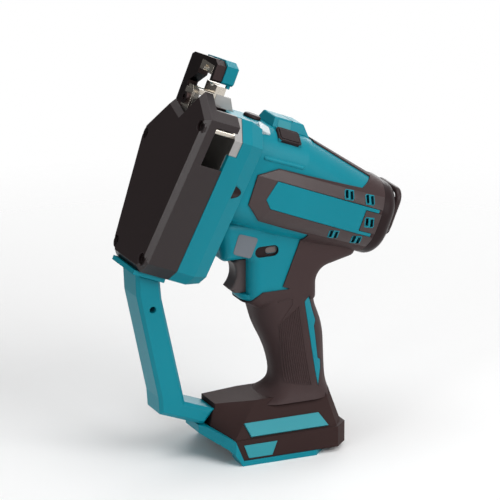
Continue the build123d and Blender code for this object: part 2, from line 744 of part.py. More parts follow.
def rod_guard():
    """Moulded cap behind the hook, open below so that the rod drops into it."""
    front = ARM_BACK
    back = front + GUARD_LENGTH
    cap = slab(hook_outline(GUARD_GROWTH), front, back)
    cap -= slab(area(2 * ARM_OUTER, 0, ARM_INNER, 2 * ROD_RISE), front - 1, back + 1)
    room = area(2 * ARM_INNER, 0, HOOK_SIDE + GUARD_GROWTH - GUARD_WALL, DIE_POCKET_RISE - 1)
    cap -= slab(room, front - 1, back + 1)
    rear_edges = cap.faces().sort_by(Axis.X)[0].edges().filter_by(Plane.YZ)
    outer = [e for e in rear_edges if e.center().Z > HOOK_CROWN[1] - 2 or e.center().Y > HOOK_SIDE - 1]
    cap = fillet(outer, GUARD_ROUND)
    tab_left = HOOK_SIDE + GUARD_GROWTH - 2
    tab = area(tab_left - GUARD_TAB, HOOK_TIP_RISE - GUARD_TAB, tab_left, HOOK_TIP_RISE + 1)
    return cap + slab(tab, back - 2 - GUARD_TAB, back - 2)


def at_rest(shape):
    """Piece of the cutting arm, drawn with the jaw open, lowered to its place at rest."""
    down = Pos(0, 0, -REST_DROP)
    return [down * solid for solid in shape] if isinstance(shape, list) else down * shape


def guide_strips():
    """Two wear strips beside the arm's plate, on the back of the front plate."""
    front = PLATE_DEPTH + PLATE_THICKNESS
    right = ARM_OUTER - RUN_GAP
    left = ARM_PLATE_LEFT + RUN_GAP
    return [
        slab(area(right - GUIDE_WIDTH, GUIDE_FOOT, right, GUIDE_TOP), front, ARM_BACK),
        slab(area(left, GUIDE_FOOT, left + GUIDE_WIDTH, GUIDE_TOP), front, ARM_BACK),
    ]


def cam_point(turn):
    """Point of the cam that meets the roller after that turn, on the offset of a steady spiral."""
    lift = ARM_TRAVEL * min(turn, CAM_SWEEP) / CAM_SWEEP
    slope = ARM_TRAVEL / math.radians(CAM_SWEEP) if turn <= CAM_SWEEP else 0.0
    pitch = CAM_BASE_RADIUS + ROLLER_RADIUS + lift
    along = math.radians(-90.0 - turn)
    out = (math.cos(along), math.sin(along))
    across = (-out[1], out[0])
    size = math.hypot(pitch, slope)
    normal = [(pitch * o + slope * c) / size for o, c in zip(out, across)]
    return tuple(pitch * o - ROLLER_RADIUS * n for o, n in zip(out, normal))


def cam_plate():
    rise_curve = Spline(*[cam_point(CAM_SWEEP * i / CAM_STEPS) for i in range(CAM_STEPS + 1)])
    crest = cam_point(CAM_SWEEP + CAM_DWELL)
    heel_turn = math.radians(CAM_HEEL_TURN)
    heel = (CAM_BASE_RADIUS * math.cos(heel_turn), CAM_BASE_RADIUS * math.sin(heel_turn))
    start = cam_point(0)
    edge = Curve() + rise_curve + Line(rise_curve @ 1, crest) + Line(crest, heel) + Line(heel, start)
    plate = slab(Pos(0, CAM_RISE) * make_face(edge), CAM_DEPTH, CAM_BACK)
    plate -= rod(CAM_SHAFT_RADIUS, CAM_DEPTH - 1, CAM_BACK + 1, 0, CAM_RISE)
    return Pos(0, 0, CAM_RISE) * Rot(REST_TURN, 0, 0) * Pos(0, 0, -CAM_RISE) * plate


def cam_shaft():
    return rod(CAM_SHAFT_RADIUS, PLATE_DEPTH, REAR_PLATE_BACK, 0, CAM_RISE)


def cam_bushes():
    outer = CAM_SHAFT_RADIUS + BUSH_WALL
    inner = CAM_SHAFT_RADIUS + SHAFT_FIT
    seats = (
        (PLATE_DEPTH, PLATE_DEPTH + PLATE_THICKNESS),
        (CASE_DEPTH, CASE_DEPTH + CASE_FRONT_WALL),
        (CASE_BACK, REAR_PLATE_BACK),
    )
    return [ring(outer, inner, front, back, 0, CAM_RISE) for front, back in seats]


def roller():
    inner = ROLLER_PIN_RADIUS + SHAFT_FIT
    return ring(ROLLER_RADIUS, inner, CAM_DEPTH, CAM_BACK, 0, ROLLER_RISE)


def roller_pin():
    return rod(ROLLER_PIN_RADIUS, ARM_DEPTH, CAM_BACK, 0, ROLLER_RISE)


def involute(base, radius):
    turn = math.sqrt(max(radius * radius / (base * base) - 1, 0.0))
    return turn - math.atan(turn)


def gear(teeth, module, front, back, side, rise, bore, phase):
    """Spur gear with involute flanks, its first tooth at the phase angle from the +Y side."""
    pitch = teeth * module / 2
    base = pitch * math.cos(math.radians(PRESSURE_ANGLE))
    tip = pitch + ADDENDUM * module
    root = pitch - DEDENDUM * module
    half = math.pi / (2 * teeth) - BACKLASH * module / (2 * pitch)
    spread = half + involute(base, pitch)
    start = max(base, root)
    radii = [start + (tip - start) * i / 3 for i in range(4)]
    flank = [(root, spread - involute(base, start))] + [(r, spread - involute(base, r)) for r in radii]
    if root >= base:
        flank = flank[1:]
    points = []
    for tooth in range(teeth):
        middle = phase + 2 * math.pi * tooth / teeth
        points += [(r, middle - a) for r, a in flank] + [(r, middle + a) for r, a in reversed(flank)]
    outline = [(r * math.cos(a), r * math.sin(a)) for r, a in points]
    face = Pos(side, rise) * Polygon(*outline, align=None)
    return slab(face, front, back) - rod(bore, front - 1, back + 1, side, rise)


# Meshing: along each line of centres a tooth of one gear meets a space of the other
SLOW_LINE = math.atan2(IDLER_RISE - CAM_RISE, IDLER_SIDE)
FAST_LINE = math.atan2(-IDLER_RISE, -IDLER_SIDE)


def cam_gear():
    back = SLOW_DEPTH + GEAR_WIDTH
    return gear(CAM_TEETH, SLOW_MODULE, SLOW_DEPTH, back, 0, CAM_RISE, CAM_SHAFT_RADIUS, SLOW_LINE)


def idler_pinion():
    phase = SLOW_LINE + math.pi + math.pi / IDLER_PINION_TEETH
    back = SLOW_DEPTH + GEAR_WIDTH
    bore = IDLER_SHAFT_RADIUS
    return gear(IDLER_PINION_TEETH, SLOW_MODULE, SLOW_DEPTH, back, IDLER_SIDE, IDLER_RISE, bore, phase)


def idler_gear():
    back = FAST_DEPTH + GEAR_WIDTH
    bore = IDLER_SHAFT_RADIUS
    return gear(IDLER_TEETH, FAST_MODULE, FAST_DEPTH, back, IDLER_SIDE, IDLER_RISE, bore, FAST_LINE)


def motor_pinion():
    phase = FAST_LINE + math.pi + math.pi / ROTOR_TEETH
    back = FAST_DEPTH + GEAR_WIDTH
    return gear(ROTOR_TEETH, FAST_MODULE, FAST_DEPTH, back, 0, 0, ROTOR_SHAFT_RADIUS, phase)


def idler_shaft():
    return rod(IDLER_SHAFT_RADIUS, IDLER_SEAT + RUN_GAP, REAR_PLATE_BACK, IDLER_SIDE, IDLER_RISE)


def idler_bushes():
    outer = IDLER_SHAFT_RADIUS + BUSH_WALL
    inner = IDLER_SHAFT_RADIUS + SHAFT_FIT
    seats = ((IDLER_SEAT, CASE_DEPTH + CASE_FRONT_WALL), (CASE_BACK, REAR_PLATE_BACK))
    return [ring(outer, inner, front, back, IDLER_SIDE, IDLER_RISE) for front, back in seats]


def rotor_shaft():
    return rod(ROTOR_SHAFT_RADIUS, FAST_DEPTH, REAR_BEARING_DEPTH + BEARING_WIDTH)


def rotor_core():
    back = STATOR_DEPTH + STATOR_LENGTH
    return ring(ROTOR_CORE_RADIUS, ROTOR_SHAFT_RADIUS, STATOR_DEPTH, back)


def bearings():
    inner = ROTOR_SHAFT_RADIUS + SHAFT_FIT
    seats = (REAR_PLATE_BACK, REAR_BEARING_DEPTH)
    return [ring(BEARING_RADIUS, inner, front, front + BEARING_WIDTH) for front in seats]


def stator():
    back = STATOR_DEPTH + STATOR_LENGTH
    yoke = ring(STATOR_RADIUS, STATOR_RADIUS - STATOR_YOKE, STATOR_DEPTH, back)
    middle = (STATOR_BORE + STATOR_RADIUS - STATOR_YOKE / 2) / 2
    tooth = Pos(middle, 0) * Rectangle(STATOR_RADIUS - STATOR_YOKE / 2 - STATOR_BORE, TOOTH_WIDTH)
    for i in range(SLOTS):
        yoke += slab(Rot(0, 0, 360 / SLOTS * i) * tooth, STATOR_DEPTH, back)
    return yoke - rod(STATOR_BORE, STATOR_DEPTH - 1, back + 1)


def windings():
    """One coil round each stator tooth, standing proud of the stack at both ends."""
    width = TOOTH_WIDTH + 2 * COIL_WALL
    outer = math.sqrt((STATOR_RADIUS - STATOR_YOKE - RUN_GAP) ** 2 - width**2 / 4)
    length = outer - STATOR_BORE - TOOTH_TIP
    middle = outer - length / 2
    front = STATOR_DEPTH - COIL_WALL
    back = STATOR_DEPTH + STATOR_LENGTH + COIL_WALL
    coils = []
    for i in range(SLOTS):
        turn = Rot(0, 0, 360 / SLOTS * i)
        coil = slab(turn * Pos(middle, 0) * Rectangle(length, width), front, back)
        hole = turn * Pos(middle, 0) * Rectangle(length + 2, TOOTH_WIDTH + 2 * FIT)
        coils.append(coil - slab(hole, STATOR_DEPTH - FIT, back - COIL_WALL + FIT))
    return coils


def fan():
    back = FAN_DEPTH + FAN_WIDTH
    wheel = rod(FAN_RADIUS, back - FAN_DISC, back) + rod(FAN_HUB_RADIUS, FAN_DEPTH, back)
    reach = FAN_RADIUS - FAN_HUB_RADIUS
    blade = Pos(FAN_RADIUS - reach / 2 - FAN_DISC, 0) * Rectangle(reach, FAN_DISC)
    for i in range(FAN_BLADES):
        wheel += slab(Rot(0, 0, 360 / FAN_BLADES * i) * blade, FAN_DEPTH + FAN_DISC, back - FAN_DISC / 2)
    return wheel - rod(ROTOR_SHAFT_RADIUS, FAN_DEPTH - 1, back + 1)


def barrel(growth=0.0):
    """Motor barrel, tapering to the rear, with rounded long edges."""
    stations = (
        (BARREL_FRONT, BARREL_HALF, BARREL_FOOT, BARREL_TOP),
        (BARREL_MIDDLE, BARREL_HALF, BARREL_FOOT, BARREL_TOP),
        (BARREL_BACK, BARREL_BACK_HALF, BARREL_BACK_FOOT, BARREL_BACK_TOP),
    )
    faces = []
    for depth, half, foot, top in stations:
        face = RectangleRounded(2 * (half + growth), top - foot + 2 * growth, BARREL_ROUND + growth)
        faces.append(Plane.YZ.offset(-depth) * Pos(0, (foot + top) / 2) * face)
    return loft(faces, ruled=True)


def neck_face(growth=0.0):
    """Side view of the trigger neck: hood, waist over the trigger and web behind the hand."""
    edge = FilletPolyline(
        (NECK_FRONT, NECK_HOOD_RISE),
        (NECK_FRONT + NECK_HOOD_LEAN[0], NECK_HOOD_RISE + NECK_HOOD_LEAN[1]),
        WEB_CROWN,
        WEB_TAIL,
        (NECK_BACK, WEB_RISE),
        (NECK_BACK, NECK_FOOT),
        (NECK_WAIST_FRONT - NECK_FOOT_STEP, NECK_FOOT),
        (NECK_WAIST_FRONT, CHIN_FOOT),
        (NECK_WAIST_FRONT, NECK_HOOD_RISE),
        radius=NECK_ROUNDS,
        close=True,
    )
    face = make_face(edge)
    return offset(face, growth) if growth else face


def chin(growth=0.0):
    """Lip of the neck under the trigger."""
    length = CHIN_FRONT - NECK_BACK + 2 * growth
    plan = RectangleRounded(length, 2 * (NECK_HALF - 1 + growth), 2 * NECK_ROUND)
    middle = (CHIN_FRONT + NECK_BACK) / 2
    base = Plane.XY.offset(CHIN_FOOT - growth) * Pos(middle, 0) * plan
    plate = extrude(base, amount=CHIN_TOP - CHIN_FOOT + growth)
    return fillet(plate.faces().sort_by(Axis.Z)[0].edges(), CHIN_ROUND)


def neck(growth=0.0):
    body = extrude(Plane.XZ * neck_face(growth), amount=NECK_HALF + growth, both=True)
    return fillet(body.faces().filter_by(Axis.Y).edges(), NECK_ROUND) + chin(growth)


# Grip stations: height, middle of the section, front-to-back depth, width, corner radius
GRIP_STATIONS = (
    (GRIP_FOOT, -18.0, 62.0, 46.0, 18.0),
    (43.0, -23.3, 50.5, 40.0, 17.0),
    (50.0, -26.5, 41.0, 36.5, 16.0),
    (62.0, -26.4, 39.8, 35.0, 16.0),
    (74.0, -24.6, 42.2, 35.5, 16.0),
    (90.0, -20.3, 47.5, 37.0, 16.0),
    (104.0, -15.5, 48.0, 39.0, 16.0),
    (116.0, -11.9, 47.9, 40.8, 15.0),
    (126.0, -11.0, 46.5, 40.4, 14.0),
)


def grip(growth=0.0):
    sections = []
    for height, middle, depth, width, corner in GRIP_STATIONS:
        face = RectangleRounded(depth + 2 * growth, width + 2 * growth, corner + growth)
        sections.append(Plane.XY.offset(height) * Pos(middle, 0) * face)
    return loft(sections)


@cache
def hull(growth=0.0):
    """Barrel, neck and grip as one form, in the tool's frame."""
    return HEAD * barrel(growth) + neck(growth) + grip(growth)


def flange():
    collar = slab(case_outline(0), FLANGE_FRONT, FLANGE_SHOULDER)
    shoulder = Plane.YZ.offset(-FLANGE_SHOULDER) * case_outline(0)
    back = Plane.YZ.offset(-FLANGE_BACK) * case_outline(FLANGE_TAPER)
    return HEAD * (collar + loft([shoulder, back], ruled=True))


def cross_rod(radius, x, z, low, high):
    """Cylinder along Y at a place in the side view."""
    return extrude(Plane.XZ.offset(-high) * Pos(x, z) * Circle(radius), amount=high - low)


def head_prism(points, low, high):
    """Solid along Y of a side-view outline given as depth and rise."""
    face = Polygon(*[(-depth, rise) for depth, rise in points], align=None)
    return HEAD * extrude(Plane.XZ.offset(-high) * face, amount=high - low)


def vent_cuts():
    """Pairs of slanted air slots through both sides of the barrel."""
    tool = None
    for depth, rise in VENT_PLACES:
        for step in (-VENT_STEP / 2, VENT_STEP / 2):
            slot = Rot(0, 0, -VENT_SLANT) * Rectangle(VENT_WIDTH, VENT_LENGTH)
            face = Plane.XZ * Pos(-depth + step, rise) * slot
            cut = HEAD * extrude(face, amount=2 * BARREL_HALF, both=True)
            tool = cut if tool is None else tool + cut
    core = Rectangle(2 * (BARREL_HALF - 3 * HOUSING_WALL), 4 * BARREL_TOP)
    return tool - HEAD * slab(core, 0, 2 * BARREL_BACK)


def housing_rooms():
    """Hollows of the housing: gear case seat, barrel, neck and grip."""
    inside = offset(neck_face(), -HOUSING_WALL)
    return (
        HEAD * slab(case_outline(FLANGE_WALL), FLANGE_FRONT - 1, REAR_PLATE_BACK + FIT),
        HEAD * barrel(-HOUSING_WALL),
        extrude(Plane.XZ * inside, amount=NECK_HALF - HOUSING_WALL, both=True),
        grip(-GRIP_WALL),
    )


def motor_ribs():
    """Ribs in the barrel that hold the stator and the end plate."""
    ribs = None
    stator_back = STATOR_DEPTH + STATOR_LENGTH - RIB_INSET - RIB_WIDTH
    for depth in (STATOR_DEPTH + RIB_INSET, stator_back, END_PLATE_DEPTH):
        radius = STATOR_RADIUS if depth < FAN_DEPTH else END_PLATE_RADIUS
        rib = ring(2 * STATOR_RADIUS, radius + FIT, depth, depth + RIB_WIDTH)
        ribs = rib if ribs is None else ribs + rib
    return HEAD * (ribs & barrel(-HOUSING_WALL / 2))


def switch_shelf():
    """Shelf inside the left half that carries the small switch under the return button."""
    top = -RETURN_SWITCH_TOP - RETURN_SWITCH_HEIGHT
    inner = -RETURN_SWITCH_WIDTH / 2
    plank = Rectangle(SHELF_REACH - inner, RETURN_SWITCH_LENGTH + RIB_WIDTH)
    shelf = shoulder_block(RETURN_DEPTH, Pos((inner + SHELF_REACH) / 2, 0) * plank, top - RIB_WIDTH, top)
    return shelf & HEAD * barrel(-HOUSING_WALL / 2)


def bracket_way():
    """Notch in the housing's front edge for the gear case's die bracket."""
    half = BRACKET_HALF + FIT
    return HEAD * slab(area(-half, 0, half, 2 * CASE_TOP), FLANGE_FRONT - 1, BRACKET_BACK + FIT)


def trigger_way():
    half = TRIGGER_HALF + RUN_GAP
    low = (SWITCH_FRONT, -half, TRIGGER_FOOT - RUN_GAP)
    return block(low, (CHIN_FRONT + 1, half, TRIGGER_TOP + RUN_GAP))


def lock_face(growth=0.0):
    bolt = SlotOverall(LOCK_LENGTH + 2 * growth, LOCK_HEIGHT + 2 * growth)
    return Pos(LOCK_X - LOCK_SHIFT, LOCK_Z) * bolt


def lock_pockets():
    """Finger hollows round the lock button's two ends."""
    face = Plane.XZ * Pos(LOCK_X, LOCK_Z) * SlotOverall(LOCK_POCKET_LENGTH, LOCK_POCKET_HEIGHT)
    core = NECK_HALF - LOCK_POCKET_DEPTH
    through = extrude(face, amount=2 * NECK_HALF, both=True)
    return through - extrude(face, amount=core, both=True)


def shoulder_plane(depth, height):
    """Plane at a height over the barrel's rounded left shoulder, turned out to the left."""
    turn = math.radians(SHOULDER_TILT)
    reach = BARREL_ROUND + height
    side = BARREL_HALF - BARREL_ROUND + reach * math.sin(turn)
    rise = BARREL_TOP - BARREL_ROUND + reach * math.cos(turn)
    across = (0, math.cos(turn), -math.sin(turn))
    return Plane((-depth, side, rise), x_dir=across, z_dir=(0, math.sin(turn), math.cos(turn)))


def shoulder_block(depth, face, low, high):
    """Solid square to the shoulder, between two heights over its surface."""
    return HEAD * extrude(shoulder_plane(depth, low) * face, amount=high - low)


def return_box(growth, low, high):
    face = Rectangle(RETURN_WIDTH + 2 * growth, RETURN_LENGTH + 2 * growth)
    return shoulder_block(RETURN_DEPTH, face, low, high)


def lamp_box(growth, low, high):
    wide = LAMP_WIDTH / 2 + growth
    narrow = wide - LAMP_TAPER
    half = LAMP_LENGTH / 2 + growth
    face = Polygon((-wide, -half), (wide, -half), (narrow, half), (-narrow, half), align=None)
    return shoulder_block(LAMP_DEPTH, face, low, high)


def plug_way():
    return HEAD * Pos(-PLUG_DEPTH, 0, BARREL_TOP) * Cylinder(PLUG_STEM_RADIUS + FIT, 4 * HOUSING_WALL)


def flange_recesses():
    """Screw pockets that run into the flange's sloping rear edge on both sides."""
    back = FLANGE_BACK + 2 * RECESS_RADIUS
    left = rod(RECESS_RADIUS, RECESS_FLOOR, back, RECESS_SIDE, RECESS_RISE)
    return HEAD * (left + rod(RECESS_RADIUS, RECESS_FLOOR, back, -RECESS_SIDE, RECESS_RISE))


def housing_bosses():
    bosses = None
    for x, z in HOUSING_SCREW_PLACES:
        boss = cross_rod(HOUSING_BOSS_RADIUS, x, z, -NECK_HALF, NECK_HALF)
        bosses = boss if bosses is None else bosses + boss
    return bosses & hull()


def screw_ways():
    ways = None
    for x, z in HOUSING_SCREW_PLACES:
        way = cross_rod(HOUSING_SCREW_RADIUS + FIT, x, z, -HOUSING_SCREW_SEAT - 1, HOUSING_SCREW_REACH + 1)
        way += cross_rod(HOUSING_SCREW_HEAD + 2 * FIT, x, z, -2 * NECK_HALF, -HOUSING_SCREW_SEAT)
        ways = way if ways is None else ways + way
    return ways


def housing():
    """Moulded shell before it is parted along its middle plane."""
    body = hull() + flange() + stripe() + grip_strip()
    body += return_box(RETURN_RIM, -HOUSING_WALL, RETURN_RIM_PROUD)
    for room in housing_rooms():
        body -= room
    body += motor_ribs() + housing_bosses() + switch_shelf()
    body -= HEAD * ear(-1.0, FIT)
    body -= bracket_way()
    body -= trigger_way()
    body -= extrude(Plane.XZ * lock_face(FIT), amount=2 * NECK_HALF, both=True)
    body -= lock_pockets()
    body -= return_box(FIT, -RETURN_SWITCH_TOP, BARREL_TOP)
    body -= lamp_box(FIT, -3 * HOUSING_WALL, BARREL_TOP)
    body -= plug_way() + vent_cuts() + screw_ways()
    return body - flange_recesses()


def half_of(body, left):
    reach = 1000.0
    low = (-reach, 0 if left else -reach, -reach)
    return body & block(low, (reach, reach if left else 0, reach))


def skin():
    return hull(SKIN) - hull(FIT)


def panel_points():
    """Side panel outline as depth and rise: pointed front, open to the rear."""
    return (
        (PANEL_FRONT, PANEL_TIP_TOP),
        (PANEL_FRONT + PANEL_POINT, PANEL_TOP),
        (PANEL_BEND, PANEL_BEND_RISE),
        PANEL_SHOULDER,
        (BARREL_BACK - FIT, PANEL_CROWN),
        (BARREL_BACK - FIT, 2 * BARREL_FOOT),
        (PANEL_NECK, 2 * BARREL_FOOT),
        (PANEL_NECK, PANEL_FOOT),
        (PANEL_FRONT + PANEL_POINT, PANEL_FOOT),
        (PANEL_FRONT + 1, PANEL_TIP_FOOT),
    )


def stripe_points(inset):
    front = STRIPE_FRONT + inset
    low = STRIPE_FOOT + inset
    high = STRIPE_TOP - inset
    back = STRIPE_BACK - inset
    return (
        (front + STRIPE_POINT_TOP, high),
        (back, high),
        (back, low),
        (front + STRIPE_POINT_FOOT, low),
        (front, low + STRIPE_POINT_FOOT),
    )


def stripe():
    """Raised band of the housing that fills the opening in each side panel."""
    reach = 2 * BARREL_HALF
    return HEAD * barrel(SKIN) & head_prism(stripe_points(RUN_GAP), -reach, reach)


def strip_prism(inset):
    face = offset(Polygon(*GRIP_STRIP, align=None), -inset, kind=Kind.INTERSECTION)
    return extrude(Plane.XZ * face, amount=NECK_HALF + SKIN, both=True)


def grip_strip():
    """Raised strip of the housing that fills the opening at the back of the grip's sides."""
    return grip(SKIN) & strip_prism(RUN_GAP)


def overmould():
    """Soft dark layer on barrel, neck and grip, before it is parted."""
    reach = 2 * BARREL_HALF
    side = head_prism(panel_points(), -reach, reach)
    ridge = HEAD * slab(area(-RIDGE_HALF, 0, RIDGE_HALF, 2 * BARREL_TOP), RIDGE_FRONT, BARREL_BACK - FIT)
    lower = side_plate(GRIP_COVER, reach)
    layer = skin() & (side + ridge + lower)
    layer -= head_prism(stripe_points(0), -reach, reach)
    layer -= strip_prism(0)
    return layer - trigger_way() - vent_cuts() - screw_ways()


def rear_cap():
    """Dark cap that closes the barrel, with air slots and two lugs for the hanging hook."""
    middle = (BARREL_BACK_FOOT + BARREL_BACK_TOP) / 2
    width = 2 * (BARREL_BACK_HALF + SKIN)
    height = BARREL_BACK_TOP - BARREL_BACK_FOOT + 2 * SKIN
    face = Pos(0, middle) * RectangleRounded(width, height, BARREL_ROUND + SKIN)
    back = BARREL_BACK + CAP_LENGTH
    cap = slab(face, BARREL_BACK, back)
    cap = fillet(cap.faces().sort_by(Axis.X)[0].edges(), CAP_ROUND)
    room = RectangleRounded(width - 4 * CAP_WALL, height - 4 * CAP_WALL, BARREL_ROUND - CAP_WALL)
    cap -= slab(Pos(0, middle) * room, BARREL_BACK - 1, back - CAP_WALL)
    for i in range(CAP_SLOTS):
        rise = middle + CAP_SLOT_PITCH * (i - (CAP_SLOTS - 1) / 2)
        slot = SlotOverall(HOOK_HALF, VENT_WIDTH)
        cap -= slab(Pos(0, rise) * slot, back - 2 * CAP_WALL, back + 1)
    for side in (-LUG_SIDE, LUG_SIDE):
        root = Pos(side, HOOK_PIVOT_RISE) * Rectangle(LUG_WIDTH, 2 * LUG_RADIUS)
        lug = slab(root, back - 1, HOOK_PIVOT_DEPTH)
        end = Plane.XZ.offset(-side - LUG_WIDTH / 2) * Pos(-HOOK_PIVOT_DEPTH, HOOK_PIVOT_RISE)
        lug += extrude(end * Circle(LUG_RADIUS), amount=LUG_WIDTH)
        lug -= extrude(end * Circle(HOOK_WIRE_RADIUS + SHAFT_FIT), amount=LUG_WIDTH)
        cap += lug
    return HEAD * cap


def hanging_hook():
    """Coated wire bail whose two ends turn in the rear cap's lugs."""
    x = -HOOK_PIVOT_DEPTH
    low = HOOK_PIVOT_RISE
    high = low + HOOK_LENGTH
    end = LUG_SIDE - LUG_WIDTH / 2
    route = FilletPolyline(
        (x, end, low),
        (x, HOOK_HALF, low),
        (x, HOOK_HALF, high),
        (x, -HOOK_HALF, high),
        (x, -HOOK_HALF, low),
        (x, -end, low),
        radius=[HOOK_FOOT_BEND, HOOK_BEND, HOOK_BEND, HOOK_FOOT_BEND],
    )
    section = Plane(origin=route @ 0, z_dir=route % 0) * Circle(HOOK_WIRE_RADIUS)
    return HEAD * sweep(section, path=route)


def end_plate():
    """Carrier of the rotor's rear bearing, with air openings round it."""
    back = REAR_BEARING_DEPTH + BEARING_WIDTH
    plate = rod(END_PLATE_RADIUS, END_PLATE_DEPTH, END_PLATE_DEPTH + RIB_WIDTH)
    plate += rod(BEARING_RADIUS + BEARING_BOSS_WALL, END_PLATE_DEPTH, back)
    plate -= rod(BEARING_RADIUS, REAR_BEARING_DEPTH, back + 1)
    plate -= rod(BEARING_RADIUS - 2, END_PLATE_DEPTH - 1, back)
    middle = (BEARING_RADIUS + BEARING_BOSS_WALL + END_PLATE_RADIUS) / 2
    for i in range(SLOTS):
        opening = Rot(0, 0, 360 / SLOTS * i) * Pos(middle, 0) * Circle(END_PLATE_RADIUS / 6)
        plate -= slab(opening, END_PLATE_DEPTH - 1, END_PLATE_DEPTH + RIB_WIDTH + 1)
    return plate


def foot_plan(growth=0.0):
    half = FOOT_HALF + growth
    return Polygon(
        (FOOT_BACK - growth, half - FOOT_CORNER),
        (FOOT_BACK - growth, FOOT_CORNER - half),
        (FOOT_BACK + FOOT_CORNER, -half),
        (FOOT_FRONT, -half),
        (FOOT_NOSE + growth, -FOOT_NOSE_HALF - growth),
        (FOOT_NOSE + growth, FOOT_NOSE_HALF + growth),
        (FOOT_FRONT, half),
        (FOOT_BACK + FOOT_CORNER, half),
        align=None,
    )


def ridge_plan():
    """Top of the foot's slopes, where the handle stands."""
    half = RIDGE_TOP_HALF
    return Polygon(
        (RIDGE_BACK, half - FOOT_CORNER / 2),
        (RIDGE_BACK, FOOT_CORNER / 2 - half),
        (RIDGE_BACK + FOOT_CORNER / 2, -half),
        (FOOT_NOSE_HALF, -half),
        (RIDGE_NOSE, FOOT_CORNER / 2 - half),
        (RIDGE_NOSE, half - FOOT_CORNER / 2),
        (FOOT_NOSE_HALF, half),
        (RIDGE_BACK + FOOT_CORNER / 2, half),
        align=None,
    )


def channel():
    """Way of the battery's rails, open to the front."""
    wide = block(
        (SKIRT_BACK + RAIL_WIDTH, -CHANNEL_HALF, RAIL_HEIGHT),
        (2 * NOSE_TIP, CHANNEL_HALF, CHANNEL_HEIGHT),
    )
    half = CHANNEL_HALF - RAIL_WIDTH
    return wide + block((SKIRT_BACK + RAIL_WIDTH, -half, -1), (2 * NOSE_TIP, half, CHANNEL_HEIGHT))


def foot_front_cut():
    """Everything in front of the slanted end where the loop guard meets the foot."""
    return side_plate(
        (
            (LOOP_HEEL[0] - LOOP_SEAT, LOOP_HEEL[1] - 2 * LOOP_LIP),
            (LOOP_HEEL[0] - LOOP_SEAT, LOOP_HEEL[1]),
            (LOOP_TIP[0] - LOOP_SEAT, LOOP_TIP[1]),
            (LOOP_TIP[0] - LOOP_SEAT, 2 * FOOT_TOP),
            (2 * NOSE_TIP, 2 * FOOT_TOP),
            (2 * NOSE_TIP, LOOP_HEEL[1] - 2 * LOOP_LIP),
        ),
        FOOT_HALF,
    )


def foot_slopes():
    lower = Plane.XY.offset(FOOT_SHELF) * foot_plan(-SHELF_STEP)
    upper = Plane.XY.offset(FOOT_TOP) * ridge_plan()
    return loft([lower, upper], ruled=True)


def foot_shell():
    base = extrude(Plane.XY.offset(SKIRT_HEIGHT) * foot_plan(), amount=FOOT_SHELF - SKIRT_HEIGHT)
    body = base + foot_slopes()
    body -= channel() + foot_front_cut() + hull(SKIN + FIT) + skirt_solid(FIT) + foot_room()
    body -= inlay_solid(FIT) + badge_solid(FIT)
    return body.solids().sort_by(SortBy.VOLUME)[-1]


def foot_room():
    """Room in the foot for the controller, reaching up into the hollow handle."""
    low = (RIDGE_BACK + FOOT_CORNER, -BOARD_HALF - FIT, CHANNEL_HEIGHT + CAP_WALL)
    return block(low, (low[0] + BOARD_LENGTH + 2 * FIT, BOARD_HALF + FIT, low[2] + BOARD_HEIGHT + FIT))


def controller():
    low = (RIDGE_BACK + FOOT_CORNER + FIT, -BOARD_HALF, CHANNEL_HEIGHT + CAP_WALL)
    tray = block(low, (low[0] + BOARD_LENGTH, BOARD_HALF, low[2] + BOARD_HEIGHT))
    tray -= block(
        (low[0] + 2, 2 - BOARD_HALF, low[2] + BOARD_HEIGHT / 2),
        (low[0] + BOARD_LENGTH - 2, BOARD_HALF - 2, low[2] + 2 * BOARD_HEIGHT),
    )
    return tray


def skirt_solid(growth=0.0):
    """Band round the foot's lower edge that sweeps up under the loop guard."""
    plan = Polygon(
        (SKIRT_BACK, FOOT_HALF - FOOT_CORNER),
        (SKIRT_BACK, FOOT_CORNER - FOOT_HALF),
        (SKIRT_BACK + FOOT_CORNER, -FOOT_HALF - SKIRT_PROUD),
        (FOOT_FRONT + SKIRT_PROUD, -FOOT_HALF - SKIRT_PROUD),
        (NOSE_TIP, -NOSE_HALF),
        (NOSE_TIP, NOSE_HALF),
        (FOOT_FRONT + SKIRT_PROUD, FOOT_HALF + SKIRT_PROUD),
        (SKIRT_BACK + FOOT_CORNER, FOOT_HALF + SKIRT_PROUD),
        align=None,
    )
    prism = extrude(plan, amount=2 * NOSE_RISE)
    under = NOSE_RISE - NOSE_THICKNESS
    profile = (
        (2 * SKIRT_BACK, -growth),
        (SKIRT_FRONT, -growth),
        SKIRT_BELLY,
        SKIRT_BROW,
        (NOSE_TIP, under),
        (NOSE_TIP, NOSE_RISE + growth),
        (LOOP_HEEL[0], LOOP_HEEL[1] - FIT + growth),
        (FOOT_FRONT + SKIRT_PROUD, FOOT_SHELF + growth),
        (SKIRT_FRONT - SKIRT_PROUD, SKIRT_HEIGHT + growth),
        (2 * SKIRT_BACK, SKIRT_HEIGHT + growth),
    )
    return prism & side_plate(profile, 2 * FOOT_HALF)


def foot_skirt():
    band = skirt_solid() - channel()
    return band - loop_guard_solid(FIT)


